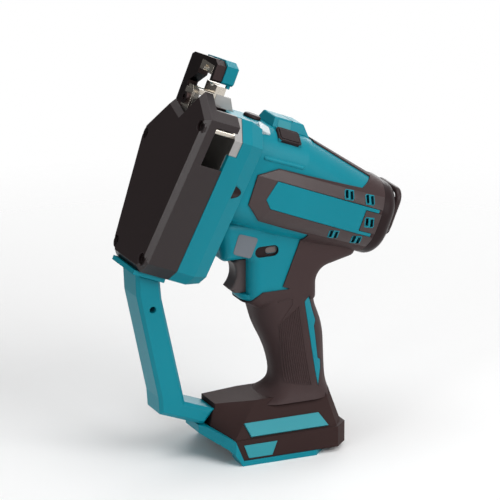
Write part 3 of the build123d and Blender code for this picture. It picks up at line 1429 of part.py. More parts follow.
def inlay_solid(growth=0.0):
    """Bare inlay set in the left side slope of the foot."""
    run = FOOT_HALF - SHELF_STEP - RIDGE_TOP_HALF
    rise = FOOT_TOP - FOOT_SHELF
    plane = Plane(origin=(0, FOOT_HALF - SHELF_STEP, FOOT_SHELF), x_dir=(1, 0, 0), z_dir=(0, rise, run))
    low = INLAY_LOW - growth
    high = INLAY_HIGH + growth
    up = 1 if (plane.y_dir.Z > 0) else -1
    face = Polygon(
        (INLAY_BACK - growth, up * low),
        (INLAY_FRONT + growth, up * low),
        (INLAY_FRONT + INLAY_LEAN / 2 + growth, up * high),
        (INLAY_BACK + INLAY_LEAN - growth, up * high),
        align=None,
    )
    piece = extrude(plane * face, amount=-INLAY_THICKNESS - growth)
    return piece + extrude(plane * face, amount=INLAY_PROUD)


def badge_solid(growth=0.0):
    """Small bare plate low on the left side of the foot, near the front."""
    half = BADGE_HEIGHT / 2 + growth
    face = Polygon(
        (BADGE_FRONT + growth, BADGE_RISE + half),
        (BADGE_BACK - growth, BADGE_RISE + half),
        (BADGE_BACK + BADGE_LEAN - growth, BADGE_RISE - half),
        (BADGE_FRONT - BADGE_LEAN + growth, BADGE_RISE - half),
        align=None,
    )
    depth = INLAY_THICKNESS + growth
    return extrude(Plane.XZ.offset(-FOOT_HALF - INLAY_PROUD) * face, amount=depth)


def terminal_block():
    low = (SKIRT_BACK + RAIL_WIDTH + FIT, -TERMINAL_HALF, TERMINAL_FOOT)
    body = block(low, (TERMINAL_FRONT, TERMINAL_HALF, CHANNEL_HEIGHT))
    slot = BLADE_THICKNESS / 2 + FIT
    for side in BLADE_SIDES:
        slot_low = (low[0] + BLADE_INSET, side - slot, TERMINAL_FOOT + BLADE_EDGE)
        body -= block(slot_low, (TERMINAL_FRONT + 1, side + slot, CHANNEL_HEIGHT - BLADE_EDGE))
    return body


def terminal_blades():
    blades = []
    back = SKIRT_BACK + RAIL_WIDTH + BLADE_INSET + 2 * FIT
    half = BLADE_THICKNESS / 2
    for side in BLADE_SIDES:
        low = (back, side - half, TERMINAL_FOOT + BLADE_EDGE + FIT)
        high = (TERMINAL_FRONT + BLADE_REACH, side + half, CHANNEL_HEIGHT - BLADE_EDGE - FIT)
        blades.append(block(low, high))
    return blades


def loop_guard_solid(growth=0.0):
    head_low = HEAD_BASE_RISE - LOOP_LIP
    top_front = HEAD * Pos(-LOOP_TOP_FRONT, 0, head_low)
    top_back = HEAD * Pos(-LOOP_TOP_BACK, 0, head_low)
    face = Polygon(
        (top_front.position.X, top_front.position.Z + 1),
        LOOP_FRONT_TOP,
        LOOP_FRONT_FOOT,
        LOOP_TOE,
        LOOP_HEEL,
        LOOP_TIP,
        LOOP_INSIDE_FOOT,
        LOOP_INSIDE_TOP,
        (top_back.position.X, top_back.position.Z + 1),
        align=None,
    )
    face = offset(face, growth, kind=Kind.INTERSECTION) if growth else face
    return extrude(Plane.XZ * face, amount=LOOP_HALF + growth, both=True)


def loop_guard():
    """Hand guard from the head's underside to the foot, with a lip bolted under the head."""
    bar = loop_guard_solid()
    bar = chamfer(bar.faces().filter_by(Axis.Y).edges(), LOOP_ROUND)
    lip = area(-LOOP_LIP_HALF, HEAD_BASE_RISE - LOOP_LIP, LOOP_LIP_HALF, HEAD_BASE_RISE - FIT)
    bar += HEAD * slab(lip, LOOP_LIP_FRONT, CASE_DEPTH - 1)
    above_base = area(-2 * FOOT_HALF, HEAD_BASE_RISE - FIT, 2 * FOOT_HALF, 0)
    bar -= HEAD * slab(above_base, -BARREL_MIDDLE, BARREL_BACK)
    bar -= cross_rod(LOOP_HOLE_RADIUS, LOOP_HOLE[0], LOOP_HOLE[1], -2 * LOOP_HALF, 2 * LOOP_HALF)
    return bar - loop_screw_ways()


def loop_screw_ways():
    end = LOOP_HALF - LOOP_SCREW_COVER + FIT
    return cross_rod(LOOP_SCREW_RADIUS + FIT, LOOP_SCREW[0], LOOP_SCREW[1], -2 * LOOP_HALF, end)


def loop_pin():
    """Cross pin that ties the guard's lower end to the foot's nose."""
    end = LOOP_HALF - LOOP_SCREW_COVER
    return cross_rod(LOOP_SCREW_RADIUS, LOOP_SCREW[0], LOOP_SCREW[1], -LOOP_HALF + 1, end)


def trigger():
    edge = Curve()
    toe = (TRIGGER_TOE, TRIGGER_FOOT + TRIGGER_TOE_CUT)
    crown = (TRIGGER_FRONT, TRIGGER_TOP - 2)
    hollow = (TRIGGER_HOLLOW, (TRIGGER_FOOT + TRIGGER_TOP) / 2 + 1)
    edge += ThreePointArc(toe, hollow, crown)
    edge += Polyline(
        crown,
        (TRIGGER_FRONT - 2, TRIGGER_TOP),
        (TRIGGER_BACK, TRIGGER_TOP),
        (TRIGGER_BACK, TRIGGER_FOOT + TRIGGER_HEEL_CUT),
        (NECK_WAIST_FRONT, TRIGGER_FOOT),
        (TRIGGER_TOE - TRIGGER_TOE_CUT, TRIGGER_FOOT),
        toe,
    )
    body = extrude(Plane.XZ * make_face(edge), amount=TRIGGER_HALF, both=True)
    front = [e for e in body.faces().filter_by(Axis.Y).edges() if e.center().X > TRIGGER_HOLLOW - 1]
    return fillet(front, TRIGGER_ROUND) + plunger(PLUNGER_RADIUS, TRIGGER_BACK + 1, PLUNGER_BACK)


def plunger(radius, front, back):
    """Rod along X behind the trigger, which the switch guides."""
    rise = (TRIGGER_FOOT + TRIGGER_TOP) / 2
    return extrude(Plane.YZ.offset(back) * Pos(0, rise) * Circle(radius), amount=front - back)


def switch_body():
    low = (SWITCH_BACK, -SWITCH_HALF, SWITCH_FOOT)
    body = block(low, (SWITCH_FRONT, SWITCH_HALF, SWITCH_TOP))
    end = PLUNGER_BACK - TRIGGER_TRAVEL - 1
    return body - plunger(PLUNGER_RADIUS + SHAFT_FIT, SWITCH_FRONT + 1, end)


def lock_button():
    """Cross bolt through the neck, standing proud on the right until it is pushed to the left."""
    reach = NECK_HALF + LOCK_PROUD
    bar = extrude(Plane.XZ.offset(-NECK_HALF + LOCK_TRAVEL / 2) * lock_face(), amount=NECK_HALF + reach)
    return fillet(bar.faces().sort_by(Axis.Y)[0].edges(), LOCK_ROUND)


def return_button():
    return return_box(0, -RETURN_FOOT, RETURN_PROUD)


def return_switch():
    face = Rectangle(RETURN_SWITCH_WIDTH, RETURN_SWITCH_LENGTH)
    low = -RETURN_SWITCH_TOP - RETURN_SWITCH_HEIGHT
    return shoulder_block(RETURN_DEPTH, face, low, -RETURN_SWITCH_TOP)


def lamp_lens():
    return lamp_box(0, -LAMP_SINK, LAMP_PROUD)


def lamp_board():
    return lamp_box(-LAMP_BOARD_GAP, -LAMP_SINK - LAMP_BOARD, -LAMP_SINK)


def top_cover():
    """Raised cover on the barrel, with a parting line across it."""
    front = TOP_BOX_DEPTH
    back = front + TOP_BOX_LENGTH
    low = Pos(-(front + back) / 2, 0, BARREL_TOP - 1) * Rectangle(TOP_BOX_LENGTH, 2 * TOP_BOX_HALF)
    crown_front = front + TOP_BOX_FRONT_SLOPE
    crown_back = back - TOP_BOX_BACK_SLOPE
    crown = Rectangle(crown_back - crown_front, 2 * (TOP_BOX_HALF - TOP_BOX_DRAFT))
    high = Pos(-(crown_front + crown_back) / 2, 0, TOP_BOX_RISE) * crown
    body = loft([low, high], ruled=True)
    body = fillet(body.faces().sort_by(Axis.Z)[-1].edges(), TOP_BOX_ROUND)
    line = front + TOP_BOX_SLIT_DEPTH
    above = area(-2 * TOP_BOX_HALF, TOP_BOX_RISE - 1, 2 * TOP_BOX_HALF, 2 * TOP_BOX_RISE)
    body -= slab(above, line, line + TOP_BOX_SLIT)
    return HEAD * (body - barrel(FIT))


def top_plug():
    stem = Pos(0, 0, -HOUSING_WALL) * Cylinder(
        PLUG_STEM_RADIUS, HOUSING_WALL, align=(Align.CENTER, Align.CENTER, Align.MIN)
    )
    dome = Cylinder(PLUG_RADIUS, PLUG_HEIGHT, align=(Align.CENTER, Align.CENTER, Align.MIN))
    dome = fillet(dome.faces().sort_by(Axis.Z)[-1].edges(), PLUG_ROUND)
    return HEAD * Pos(-PLUG_DEPTH, 0, BARREL_TOP + FIT) * (stem + dome)


def housing_screws():
    screws = []
    for x, z in HOUSING_SCREW_PLACES:
        shank = cross_rod(HOUSING_SCREW_RADIUS, x, z, -HOUSING_SCREW_SEAT, HOUSING_SCREW_REACH)
        head = cross_rod(HOUSING_SCREW_HEAD, x, z, -HOUSING_SCREW_TOP, -HOUSING_SCREW_SEAT)
        screws.append(shank + head)
    return screws


def head_parts():
    """Pieces drawn in the head frame."""
    return {
        "front_cover": front_cover(),
        "cover_screws": cover_screws(),
        "front_plate": front_plate(),
        "standoffs": standoffs(),
        "gear_case": gear_case(),
        "case_rear_plate": case_rear_plate(),
        "fixed_die": fixed_die(),
        "die_clamp": die_clamp(),
        "die_clamp_screw": die_clamp_screw(),
        "cutting_arm": at_rest(cutting_arm()),
        "moving_die": at_rest(moving_die()),
        "moving_die_screws": at_rest(moving_die_screws()),
        "rod_guard": at_rest(rod_guard()),
        "guide_strips": guide_strips(),
        "cam_plate": cam_plate(),
        "cam_shaft": cam_shaft(),
        "cam_gear": cam_gear(),
        "cam_bushes": cam_bushes(),
        "roller": at_rest(roller()),
        "roller_pin": at_rest(roller_pin()),
        "idler_shaft": idler_shaft(),
        "idler_gear": idler_gear(),
        "idler_pinion": idler_pinion(),
        "idler_bushes": idler_bushes(),
        "rotor_shaft": rotor_shaft(),
        "rotor_core": rotor_core(),
        "motor_pinion": motor_pinion(),
        "fan": fan(),
        "bearings": bearings(),
        "stator": stator(),
        "windings": windings(),
        "end_plate": end_plate(),
    }


def tool_parts():
    """Pieces drawn in the tool's frame."""
    shell = housing()
    layer = overmould()
    return {
        "housing_left": half_of(shell, True),
        "housing_right": half_of(shell, False),
        "overmould_left": half_of(layer, True),
        "overmould_right": half_of(layer, False),
        "housing_screws": housing_screws(),
        "rear_cap": rear_cap(),
        "hanging_hook": hanging_hook(),
        "foot_shell": foot_shell(),
        "foot_skirt": foot_skirt(),
        "foot_inlay": inlay_solid(),
        "foot_badge": badge_solid(),
        "terminal_block": terminal_block(),
        "terminal_blades": terminal_blades(),
        "controller": controller(),
        "loop_guard": loop_guard(),
        "loop_pin": loop_pin(),
        "trigger": trigger(),
        "switch_body": switch_body(),
        "lock_button": lock_button(),
        "return_button": return_button(),
        "return_switch": return_switch(),
        "lamp_lens": lamp_lens(),
        "lamp_board": lamp_board(),
        "top_cover": top_cover(),
        "top_plug": top_plug(),
    }


def write_part(name, shape, place):
    solids = shape if isinstance(shape, list) else [shape]
    moved = [place * solid for solid in solids]
    export_step(moved[0] if len(moved) == 1 else Compound(children=moved), f"parts/{name}.step")


def main():
    os.makedirs("parts", exist_ok=True)
    for name, shape in head_parts().items():
        write_part(name, shape, HEAD)
    for name, shape in tool_parts().items():
        write_part(name, shape, Location())


if __name__ == "__main__":
    main()
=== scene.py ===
import json
import math

import bmesh
import bpy
from mathutils import Matrix, Vector
from mathutils.bvhtree import BVHTree


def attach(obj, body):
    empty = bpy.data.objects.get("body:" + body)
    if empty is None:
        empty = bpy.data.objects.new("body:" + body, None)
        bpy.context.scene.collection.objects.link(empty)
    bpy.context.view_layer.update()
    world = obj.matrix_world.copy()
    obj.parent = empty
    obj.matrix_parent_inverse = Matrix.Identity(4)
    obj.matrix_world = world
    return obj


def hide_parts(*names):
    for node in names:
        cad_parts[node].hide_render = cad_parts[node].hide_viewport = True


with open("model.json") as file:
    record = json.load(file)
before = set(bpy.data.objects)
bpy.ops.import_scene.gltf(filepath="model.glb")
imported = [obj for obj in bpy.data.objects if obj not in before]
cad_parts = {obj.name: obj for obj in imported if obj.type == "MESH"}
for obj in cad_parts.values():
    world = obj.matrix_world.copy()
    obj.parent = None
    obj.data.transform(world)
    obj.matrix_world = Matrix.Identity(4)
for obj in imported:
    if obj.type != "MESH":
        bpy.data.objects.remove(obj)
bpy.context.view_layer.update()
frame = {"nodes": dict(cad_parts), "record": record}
NODES = frame["nodes"]
RECORD = frame["record"]

# The tool's forms are given in millimetres; camera, lamps and floor in metres. OUTSIDE lies clear of
# the tool's sides, and the steps are those of each rounded corner and each half-round end
MM = 0.001
SIDES = ((1, "left"), (-1, "right"))
OUTSIDE = 60.0
ROUND_STEPS = 5
SLOT_STEPS = 12
WELD_DIGITS = 2
BEVEL_SAMPLES = 6

# The head frame, as in the part: "depth" runs back along the motor axis, "rise" stands square to it
HEAD_TILT = math.radians(22.0)
HEAD_X = 80.0
HEAD_Z = 238.0
HEAD_ALONG = Vector((-math.cos(HEAD_TILT), 0, -math.sin(HEAD_TILT)))
HEAD_UP = Vector((-math.sin(HEAD_TILT), 0, math.cos(HEAD_TILT)))
HEAD_TURN = (0, -HEAD_TILT, 0)

# Camera: photograph's view, a point in the middle of the picture and the scale there
VIEW_AZIMUTH = math.radians(156.0)
VIEW_ELEVATION = math.radians(18.0)
VIEW_POINT = Vector((0.0106, 0.0, 0.1542))
VIEW_DISTANCE = 3.5
VIEW_REACH = 100.0
IMAGE_SIDE = 500
PIXELS_PER_METRE = 1347.0
SENSOR = 36.0

# Studio: lamps by name, place, size and power, aimed at the tool's middle
STUDIO_MIDDLE = (0.0, 0.0, 0.16)
SOFTBOXES = (
    ("key_softbox", (-0.55, 1.25, 1.05), (1.1, 0.9), 14.0),
    ("top_softbox", (0.0, 0.15, 1.6), (1.3, 1.0), 11.0),
    ("front_softbox", (1.6, 0.88, 0.52), (0.3, 0.6), 4.6),
    ("side_strip", (-1.0, 1.5, 0.34), (0.6, 0.3), 2.2),
    ("back_softbox", (-0.9, -1.3, 0.7), (0.9, 0.9), 6.0),
)
SURROUND_LIGHT = 0.30
SURROUND_SEEN = 1.0
FLOOR_RADIUS = 0.9
FLOOR_FADE = (0.25, 0.75)
FLOOR_CORNERS = 64

# Dark side of the studio, which only the gloss sees
FLAG_DIRECTION = (0.494, -0.869, 0.047)
FLAG_CORE = math.radians(35.0)
FLAG_EDGE = math.radians(52.0)
FLAG_DEPTH = 0.88

# Motor barrel in the head frame, as in the part: at the middle and at the rear end
BARREL_MIDDLE = 98.0
BARREL_BACK = 172.0
BARREL_HALF = (35.0, 32.0)
BARREL_TOP = (43.5, 27.0)
BARREL_FOOT = (-34.0, -27.5)
BARREL_ROUND = 22.0
SKIN = 1.2
SKIN_SINK = 0.5

# Side panel: corners of its facets by depth, rise and height over the skin
CREST = 2.2
CREST_BACK = 1.0
PANEL_END = 171.4
PANEL_LEFT_TOP = (61.4, 8.8, 0.0)
PANEL_TOP_LEFT = (76.2, 17.6, 0.0)
PANEL_TOP_RIGHT = (PANEL_END, 18.6, 0.0)
PANEL_LEFT_FOOT = (62.4, -13.8, 0.0)
PANEL_FOOT_LEFT = (76.2, -23.6, 0.0)
PANEL_FOOT_RIGHT = (PANEL_END, -21.0, 0.0)
PANEL_LONG_STEPS = 48
PANEL_STEPS = 6

# Bright band in the panel, the legs that run on behind it, and the gap round it
BAND_TOP_LEFT = (77.0, 9.4, CREST)
BAND_TOP_RIGHT = (PANEL_END, 9.4, CREST_BACK)
BAND_TIP = (73.0, -6.5, CREST)
BAND_FOOT_LEFT = (79.0, -12.5, CREST)
BAND_FOOT_RIGHT = (PANEL_END, -12.5, CREST_BACK)
BAND_END = 156.6
BAND_LEG = 2.4
BAND_LEG_END = 168.5
BAND_GAP = 0.35
BAND_DROP = 0.2
BAND_TIP_STEPS = 3

# Pairs of air slots by the depth and rise of their middles, and the rims round them; a rim's layers
# are given by their share of the outline and their height
VENT_PLACES = ((139.0, 14.0), (158.0, 14.5), (163.0, -1.8), (139.0, -18.0), (159.5, -17.5))
VENT_LENGTH = 6.0
VENT_WIDTH = 2.4
VENT_STEP = 4.4
VENT_SLANT = math.radians(18.0)
VENT_INNER = 20.0
VENT_RIM = 0.9
VENT_RIM_CUT = 1.2
VENT_RIM_LAYERS = ((1.0, -0.9), (1.0, 0.0), (0.93, 0.22))

# Raised bead over the side panel, in the head frame
BEAD_FRONT = 61.0
BEAD_BACK = 96.0
BEAD_RISE = (22.6, 23.6)
BEAD_RADIUS = 1.5
BEAD_TIP_SHARE = 0.15
BEAD_HEIGHT_SHARE = 0.75
BEAD_STEPS = 40
BEAD_CORNERS = 16

# Left shoulder of the barrel: the lens and the rim round the return button lie square to it
SHOULDER_TILT = math.radians(30.0)
LENS_DEPTH = 58.6
LENS_LENGTH = 10.4
LENS_WIDE = 9.0
LENS_NARROW = 7.4
LENS_FRONT_PROUD = 3.4
LENS_BACK_PROUD = 0.9
LENS_ROUND = 1.2
LENS_SINK = 5.0
LENS_BEVEL = 0.4
LENS_TOP_SHARE = 0.92
LENS_TOP_ROUND = 0.9
RETURN_DEPTH = 80.0
RETURN_LENGTH = 15.5
RETURN_WIDTH = 10.0
RETURN_GAP = 0.35
RETURN_HOLE_ROUND = 0.6
RETURN_LIP = 0.5
RETURN_LIP_DROP = 0.4
RETURN_LIP_ROUND = 0.9
RETURN_RIM = 1.7
RETURN_RIM_TOP = 1.9
RETURN_RIM_FOOT = -0.8
RETURN_RIM_ROUND = 2.6
RETURN_CROWN_ROUND = 2.2

# Relief of the grip by X and Z: corners of the field of fine ribs, front edge first, and the lip over it
RIB_FIELD_TOP = ((-4.5, 99.5), (-19.8, 112.0))
RIB_FIELD_FOOT = ((-11.5, 52.0), (-31.0, 48.5))
RIB_COUNT = 13
RIB_STEPS = 40
RIB_RADIUS = 0.6
RIB_SINK = 0.12
RIB_CORNERS = 10
LIP_CORNERS = ((-2.6, 118.2), (-14.3, 119.7), (-14.9, 115.1), (-5.8, 101.6))
LIP_STEPS = 12

# Bare plate on the neck by X and Z
NECK_HALF = 20.5
PLATE_CORNERS = ((28.6, 175.0), (13.0, 169.6), (19.4, 154.6), (33.6, 160.0))
PLATE_ROUND = 2.0
PLATE_PROUD = 0.25
PLATE_SINK = 0.2

# Bare plate on the top cover's left slope: the slope's foot and edge by side and rise, and the
# plate's corners by depth and height up the slope
TOP_SLOPE_FOOT = Vector((13.5, 43.6))
TOP_SLOPE_EDGE = Vector((10.5, 50.0))
TOP_PLATE = ((74.4, 1.0), (85.5, 1.0), (85.5, 6.5), (74.4, 6.5))
TOP_PLATE_ROUND = 0.8

# Finger hollows of the lock button, and how far the dark lining of painted shade stays inside them
LOCK_X = 6.0
LOCK_Z = 158.5
LOCK_SHIFT = 4.3
POCKET_LENGTH = 19.0
POCKET_HEIGHT = 8.4
POCKET_DEPTH = 2.6
BOLT_LENGTH = 9.2
BOLT_HEIGHT = 4.8
SHADE_OUTSIDE = 0.1
SHADE_INSIDE = 0.4
SHADE_DROP = 0.4
SHADE_FLOOR = 0.5
SHADE_HOLE = 0.5

# Dark linings of painted shade in the screw wells of the flange's sloping rear edge. By side: the flange's
# half width, half the lined arc and the distance from the middle plane that the lining keeps at least
FLANGE_SIDES = (("left", 1, 40.7, 52.0, 0.0), ("right", -1, 44.0, 89.0, 40.6))
FLANGE_SHOULDER = 43.0
FLANGE_BACK = 54.0
FLANGE_SLOPE = 3.3 / 11.0
WELL_RADIUS = 6.5
WELL_SIDE = 44.5
WELL_RISE = -7.5
WELL_FLOOR = 44.0
WELL_INNER = WELL_RADIUS - 0.25
WELL_OUTER = WELL_RADIUS - 0.03
WELL_FRONT = WELL_FLOOR + 0.05
WELL_LEAST = WELL_FLOOR + 0.1
WELL_EDGE_LEAST = 0.3
WELL_EDGE_DROP = 0.2
WELL_STEPS = 16


def head_point(depth, side, rise):
    """Point of the head frame, in metres of the tool's frame."""
    return MM * (Vector((HEAD_X, side, HEAD_Z)) + depth * HEAD_ALONG + rise * HEAD_UP)


def colour(red, green, blue):
    """Shader colour of a display colour given in 0 to 255."""
    channels = [value / 255 for value in (red, green, blue)]
    linear = [c / 12.92 if c <= 0.04045 else ((c + 0.055) / 1.055) ** 2.4 for c in channels]
    return (*linear, 1.0)


def scaled(base, factor):
    """A lighter or darker colour of the same hue."""
    return (*[factor * channel for channel in base[:3]], 1.0)


class Value:
    """A number in a node tree; arithmetic on it adds Math nodes."""

    def __init__(self, nodes, socket):
        self.nodes = nodes
        self.socket = socket

    def math(self, operation, first, second=0.0):
        made = self.nodes.node("ShaderNodeMath", {"operation": operation}, {0: first, 1: second})
        return Value(self.nodes, made.outputs[0])

    def __add__(self, other):
        return self.math("ADD", self, other)

    def __radd__(self, other):
        return self.math("ADD", other, self)

    def __sub__(self, other):
        return self.math("SUBTRACT", self, other)

    def __rsub__(self, other):
        return self.math("SUBTRACT", other, self)

    def __mul__(self, other):
        return self.math("MULTIPLY", self, other)

    def __rmul__(self, other):
        return self.math("MULTIPLY", other, self)

    def sine(self):
        return self.math("SINE", self)

    def above(self, limit):
        return self.math("GREATER_THAN", self, limit)


class ShaderNodes:
    """Nodes of one shader tree, each made from its type, its settings and its sockets."""

    def __init__(self, tree):
        self.tree = tree

    def node(self, kind, settings, sockets):
        made = self.tree.nodes.new(kind)
        for name, value in settings.items():
            setattr(made, name, value)
        for key, value in sockets.items():
            self.feed(made.inputs[key], value)
        return made

    def feed(self, target, value):
        if isinstance(value, Value):
            self.tree.links.new(value.socket, target)
        elif isinstance(value, bpy.types.NodeSocket):
            self.tree.links.new(value, target)
        else:
            target.default_value = value


class Finish(ShaderNodes):
    """A material in the making: its surface patterns and its shader."""

    def __init__(self, name):
        self.material = bpy.data.materials.new(name)
        self.material.use_nodes = True
        super().__init__(self.material.node_tree)
        self.shader = self.tree.nodes["Principled BSDF"]
        self.place = self.node("ShaderNodeTexCoord", {}, {}).outputs["Object"]

    def mapped(self, scale=(1, 1, 1), turn=(0, 0, 0)):
        sockets = {"Vector": self.place, "Scale": scale, "Rotation": turn}
        return self.node("ShaderNodeMapping", {}, sockets).outputs["Vector"]

    def noise(self, scale, detail=2.0, stretch=(1, 1, 1), turn=(0, 0, 0)):
        sockets = {"Vector": self.mapped(stretch, turn), "Scale": scale, "Detail": detail}
        return Value(self, self.node("ShaderNodeTexNoise", {}, sockets).outputs[0])

    def cells(self, scale):
        made = self.node("ShaderNodeTexVoronoi", {}, {"Vector": self.place, "Scale": scale})
        return Value(self, made.outputs["Distance"])

    def waves(self, pitch):
        """Even waves along the motor axis."""
        split = self.node("ShaderNodeSeparateXYZ", {}, {"Vector": self.mapped(turn=HEAD_TURN)})
        return (Value(self, split.outputs["X"]) * (2 * math.pi / pitch)).sine()

    def shade(self, factor, low, high):
        return self.node("ShaderNodeMix", {"data_type": "RGBA"}, {0: factor, 6: low, 7: high}).outputs[2]

    def bump(self, height, depth, edge=0.0):
        """Relief of a given depth, over edges that are softened by a radius."""
        sockets = {"Height": height, "Distance": depth, "Strength": 1.0}
        if edge:
            soft = self.node("ShaderNodeBevel", {"samples": BEVEL_SAMPLES}, {"Radius": edge})
            sockets["Normal"] = soft.outputs["Normal"]
        return self.node("ShaderNodeBump", {}, sockets).outputs["Normal"]

    def set(self, **sockets):
        for name, value in sockets.items():
            self.feed(self.shader.inputs[name.replace("_", " ")], value)
        return self.material


def moulded(name, base, gloss, grain, shine=0.2):
    """Moulded plastic: fine spark-eroded grain, faint flow marks and softened edges."""
    finish = Finish(name)
    flow = finish.noise(scale=14.0, detail=3.0, stretch=(1, 1, 0.35))
    grains = finish.noise(scale=grain)
    finish.set(Base_Color=finish.shade(flow, scaled(base, 0.82), base))
    finish.set(Roughness=gloss + 0.10 * (flow - 0.5) + 0.06 * grains)
    finish.set(Normal=finish.bump(grains, depth=0.00006, edge=0.0006))
    return finish.set(Specular_IOR_Level=shine)


def rubbered(name, base):
    """Soft elastomer: dense stipple and a dry, uneven sheen."""
    finish = Finish(name)
    stipple = finish.cells(scale=2600.0)
    wear = finish.noise(scale=22.0, detail=4.0)
    finish.set(Base_Color=finish.shade(wear, base, scaled(base, 1.35)))
    finish.set(Roughness=0.50 + 0.14 * wear)
    finish.set(Normal=finish.bump(stipple, depth=0.00005, edge=0.0005))
    return finish.set(Specular_IOR_Level=0.18)


def ground_metal(name, base, gloss):
    """Machined metal: fine tool lines along the motor axis and clouded gloss."""
    finish = Finish(name)
    marks = finish.noise(scale=900.0, detail=3.0, stretch=(0.04, 1, 1), turn=HEAD_TURN)
    cloud = finish.noise(scale=60.0, detail=3.0)
    finish.set(Base_Color=finish.shade(cloud, scaled(base, 0.72), base))
    finish.set(Roughness=gloss + 0.22 * (marks - 0.5) + 0.10 * (cloud - 0.5))
    finish.set(Normal=finish.bump(marks, depth=0.00002, edge=0.0003))
    return finish.set(Metallic=1.0)


def sheet_stack(name, base, pitch):
    """Stack of thin sheets along the motor axis."""
    finish = Finish(name)
    sheets = finish.waves(pitch)
    rust = finish.noise(scale=180.0, detail=3.0)
    finish.set(Base_Color=finish.shade(rust * 0.6 + 0.2 * sheets, base, scaled(base, 0.45)))
    finish.set(Roughness=0.42 + 0.2 * rust)
    finish.set(Normal=finish.bump(sheets, depth=0.00008))
    return finish.set(Metallic=1.0)


def wound_wire(name, base, pitch):
    """Enamelled wire laid turn by turn."""
    finish = Finish(name)
    turns = finish.waves(pitch)
    tint = finish.noise(scale=90.0)
    finish.set(Base_Color=finish.shade(0.5 + 0.35 * turns + 0.3 * (tint - 0.5), scaled(base, 0.5), base))
    finish.set(Roughness=0.28 + 0.12 * tint)
    finish.set(Normal=finish.bump(turns, depth=0.00015))
    return finish.set(Metallic=0.9)


def clear_lens(name):
    """Lamp lens: frosted inside, with a soft prism pattern."""
    finish = Finish(name)
    frost = finish.noise(scale=700.0)
    finish.set(Base_Color=finish.shade(frost, colour(186, 200, 204), colour(226, 234, 236)))
    finish.set(Roughness=0.16 + 0.12 * frost)
    finish.set(Normal=finish.bump(finish.waves(pitch=0.0012), depth=0.00006, edge=0.0003))
    return finish.set(Coat_Weight=0.3, Specular_IOR_Level=0.3)


def circuit_board(name):
    """Coated board with tracks."""
    finish = Finish(name)
    tracks = finish.cells(scale=420.0)
    tint = finish.noise(scale=120.0)
    coat = finish.shade(tint, colour(24, 78, 46), colour(34, 104, 60))
    finish.set(Base_Color=finish.shade(tracks.above(0.62), coat, colour(150, 170, 120)))
    finish.set(Roughness=0.3 + 0.2 * tint)
    return finish.set(Normal=finish.bump(tracks, depth=0.00008))


# Finishes by material slot, then those of single pieces
FINISHES = {
    "teal_plastic": moulded("teal_moulding", colour(0, 134, 151), gloss=0.34, grain=1500.0),
    "dark_plastic": moulded("dark_moulding", colour(38, 25, 26), gloss=0.32, grain=1700.0, shine=0.14),
    "dark_rubber": rubbered("grip_elastomer", colour(56, 42, 42)),
    "grey_plastic": moulded("grey_moulding", colour(112, 104, 102), gloss=0.38, grain=1600.0),
    "aluminium": ground_metal("cast_aluminium", colour(172, 170, 168), gloss=0.44),
    "bright_steel": ground_metal("ground_steel", colour(214, 206, 194), gloss=0.24),
    "gear_steel": ground_metal("oiled_gear_steel", colour(158, 154, 148), gloss=0.28),
    "dark_steel": ground_metal("blackened_steel", colour(62, 52, 52), gloss=0.36),
    "lamination": sheet_stack("stator_sheets", colour(128, 128, 130), pitch=0.0007),
    "copper": wound_wire("enamelled_copper", colour(206, 128, 84), pitch=0.0009),
    "bronze": ground_metal("sintered_bronze", colour(188, 146, 92), gloss=0.40),
    "coated_wire": moulded("wire_coating", colour(54, 41, 41), gloss=0.28, grain=1200.0),
    "lamp": clear_lens("lamp_lens_clear"),
    "board": circuit_board("lamp_board_coated"),
    "trigger_grey": moulded("trigger_moulding", colour(84, 74, 74), gloss=0.36, grain=1600.0),
    "cover_dark": moulded("cover_moulding", colour(34, 22, 23), gloss=0.30, grain=1700.0, shine=0.40),
    "foot_dark": moulded("foot_moulding", colour(58, 43, 42), gloss=0.48, grain=1700.0, shine=0.04),
    "plate_grey": moulded("plate_moulding", colour(116, 121, 128), gloss=0.40, grain=1600.0),
    "plate_teal": moulded("inlay_moulding", colour(52, 150, 162), gloss=0.34, grain=1500.0),
    "panel_dark": moulded("panel_moulding", colour(58, 43, 43), gloss=0.30, grain=1500.0, shine=0.45),
}
OWN_FINISHES = {
    "return_button": "dark_plastic",
    "trigger": "trigger_grey",
    "front_cover": "cover_dark",
    "foot_shell": "foot_dark",
    "foot_inlay": "plate_teal",
    "foot_badge": "plate_teal",
}


def dress_nodes():
    """Gives every CAD node the finish of its material slot, or one of its own."""
    for part in RECORD["subparts"]:
        mesh = NODES[part["node"]].data
        mesh.materials.clear()
        mesh.materials.append(FINISHES[OWN_FINISHES.get(part["node"], part["material_slot"])])


def placed(name, data):
    """New object of the scene."""
    made = bpy.data.objects.new(name, data)
    bpy.context.scene.collection.objects.link(made)
    return made


def settle(made, slot, finish=None):
    """Gives a finished piece the finish of its slot, or one of its own, and lets it ride on the tool's frame.
    """
    made.data.materials.clear()
    made.data.materials.append(FINISHES[finish or slot])
    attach(made, "frame")


def solid_object(name, form):
    """Object of a closed form, its faces turned outwards."""
    bmesh.ops.recalc_face_normals(form, faces=form.faces)
    mesh = bpy.data.meshes.new(name)
    form.to_mesh(mesh)
    form.free()
    return placed(name, mesh)


def loop_of(form, points):
    return [form.verts.new(point) for point in points]


def join_loops(form, first, second):
    for i in range(len(first)):
        j = (i + 1) % len(first)
        form.faces.new((first[i], first[j], second[j], second[i]))


def stack_loops(form, loops):
    """Skins a row of loops of the same length and closes both ends."""
    for first, second in zip(loops, loops[1:]):
        join_loops(form, first, second)
    form.faces.new(list(reversed(loops[0])))
    form.faces.new(loops[-1])


def ring_loops(form, loops):
    """Skins a row of loops of the same length that closes on itself."""
    for first, second in zip(loops, loops[1:] + loops[:1]):
        join_loops(form, first, second)


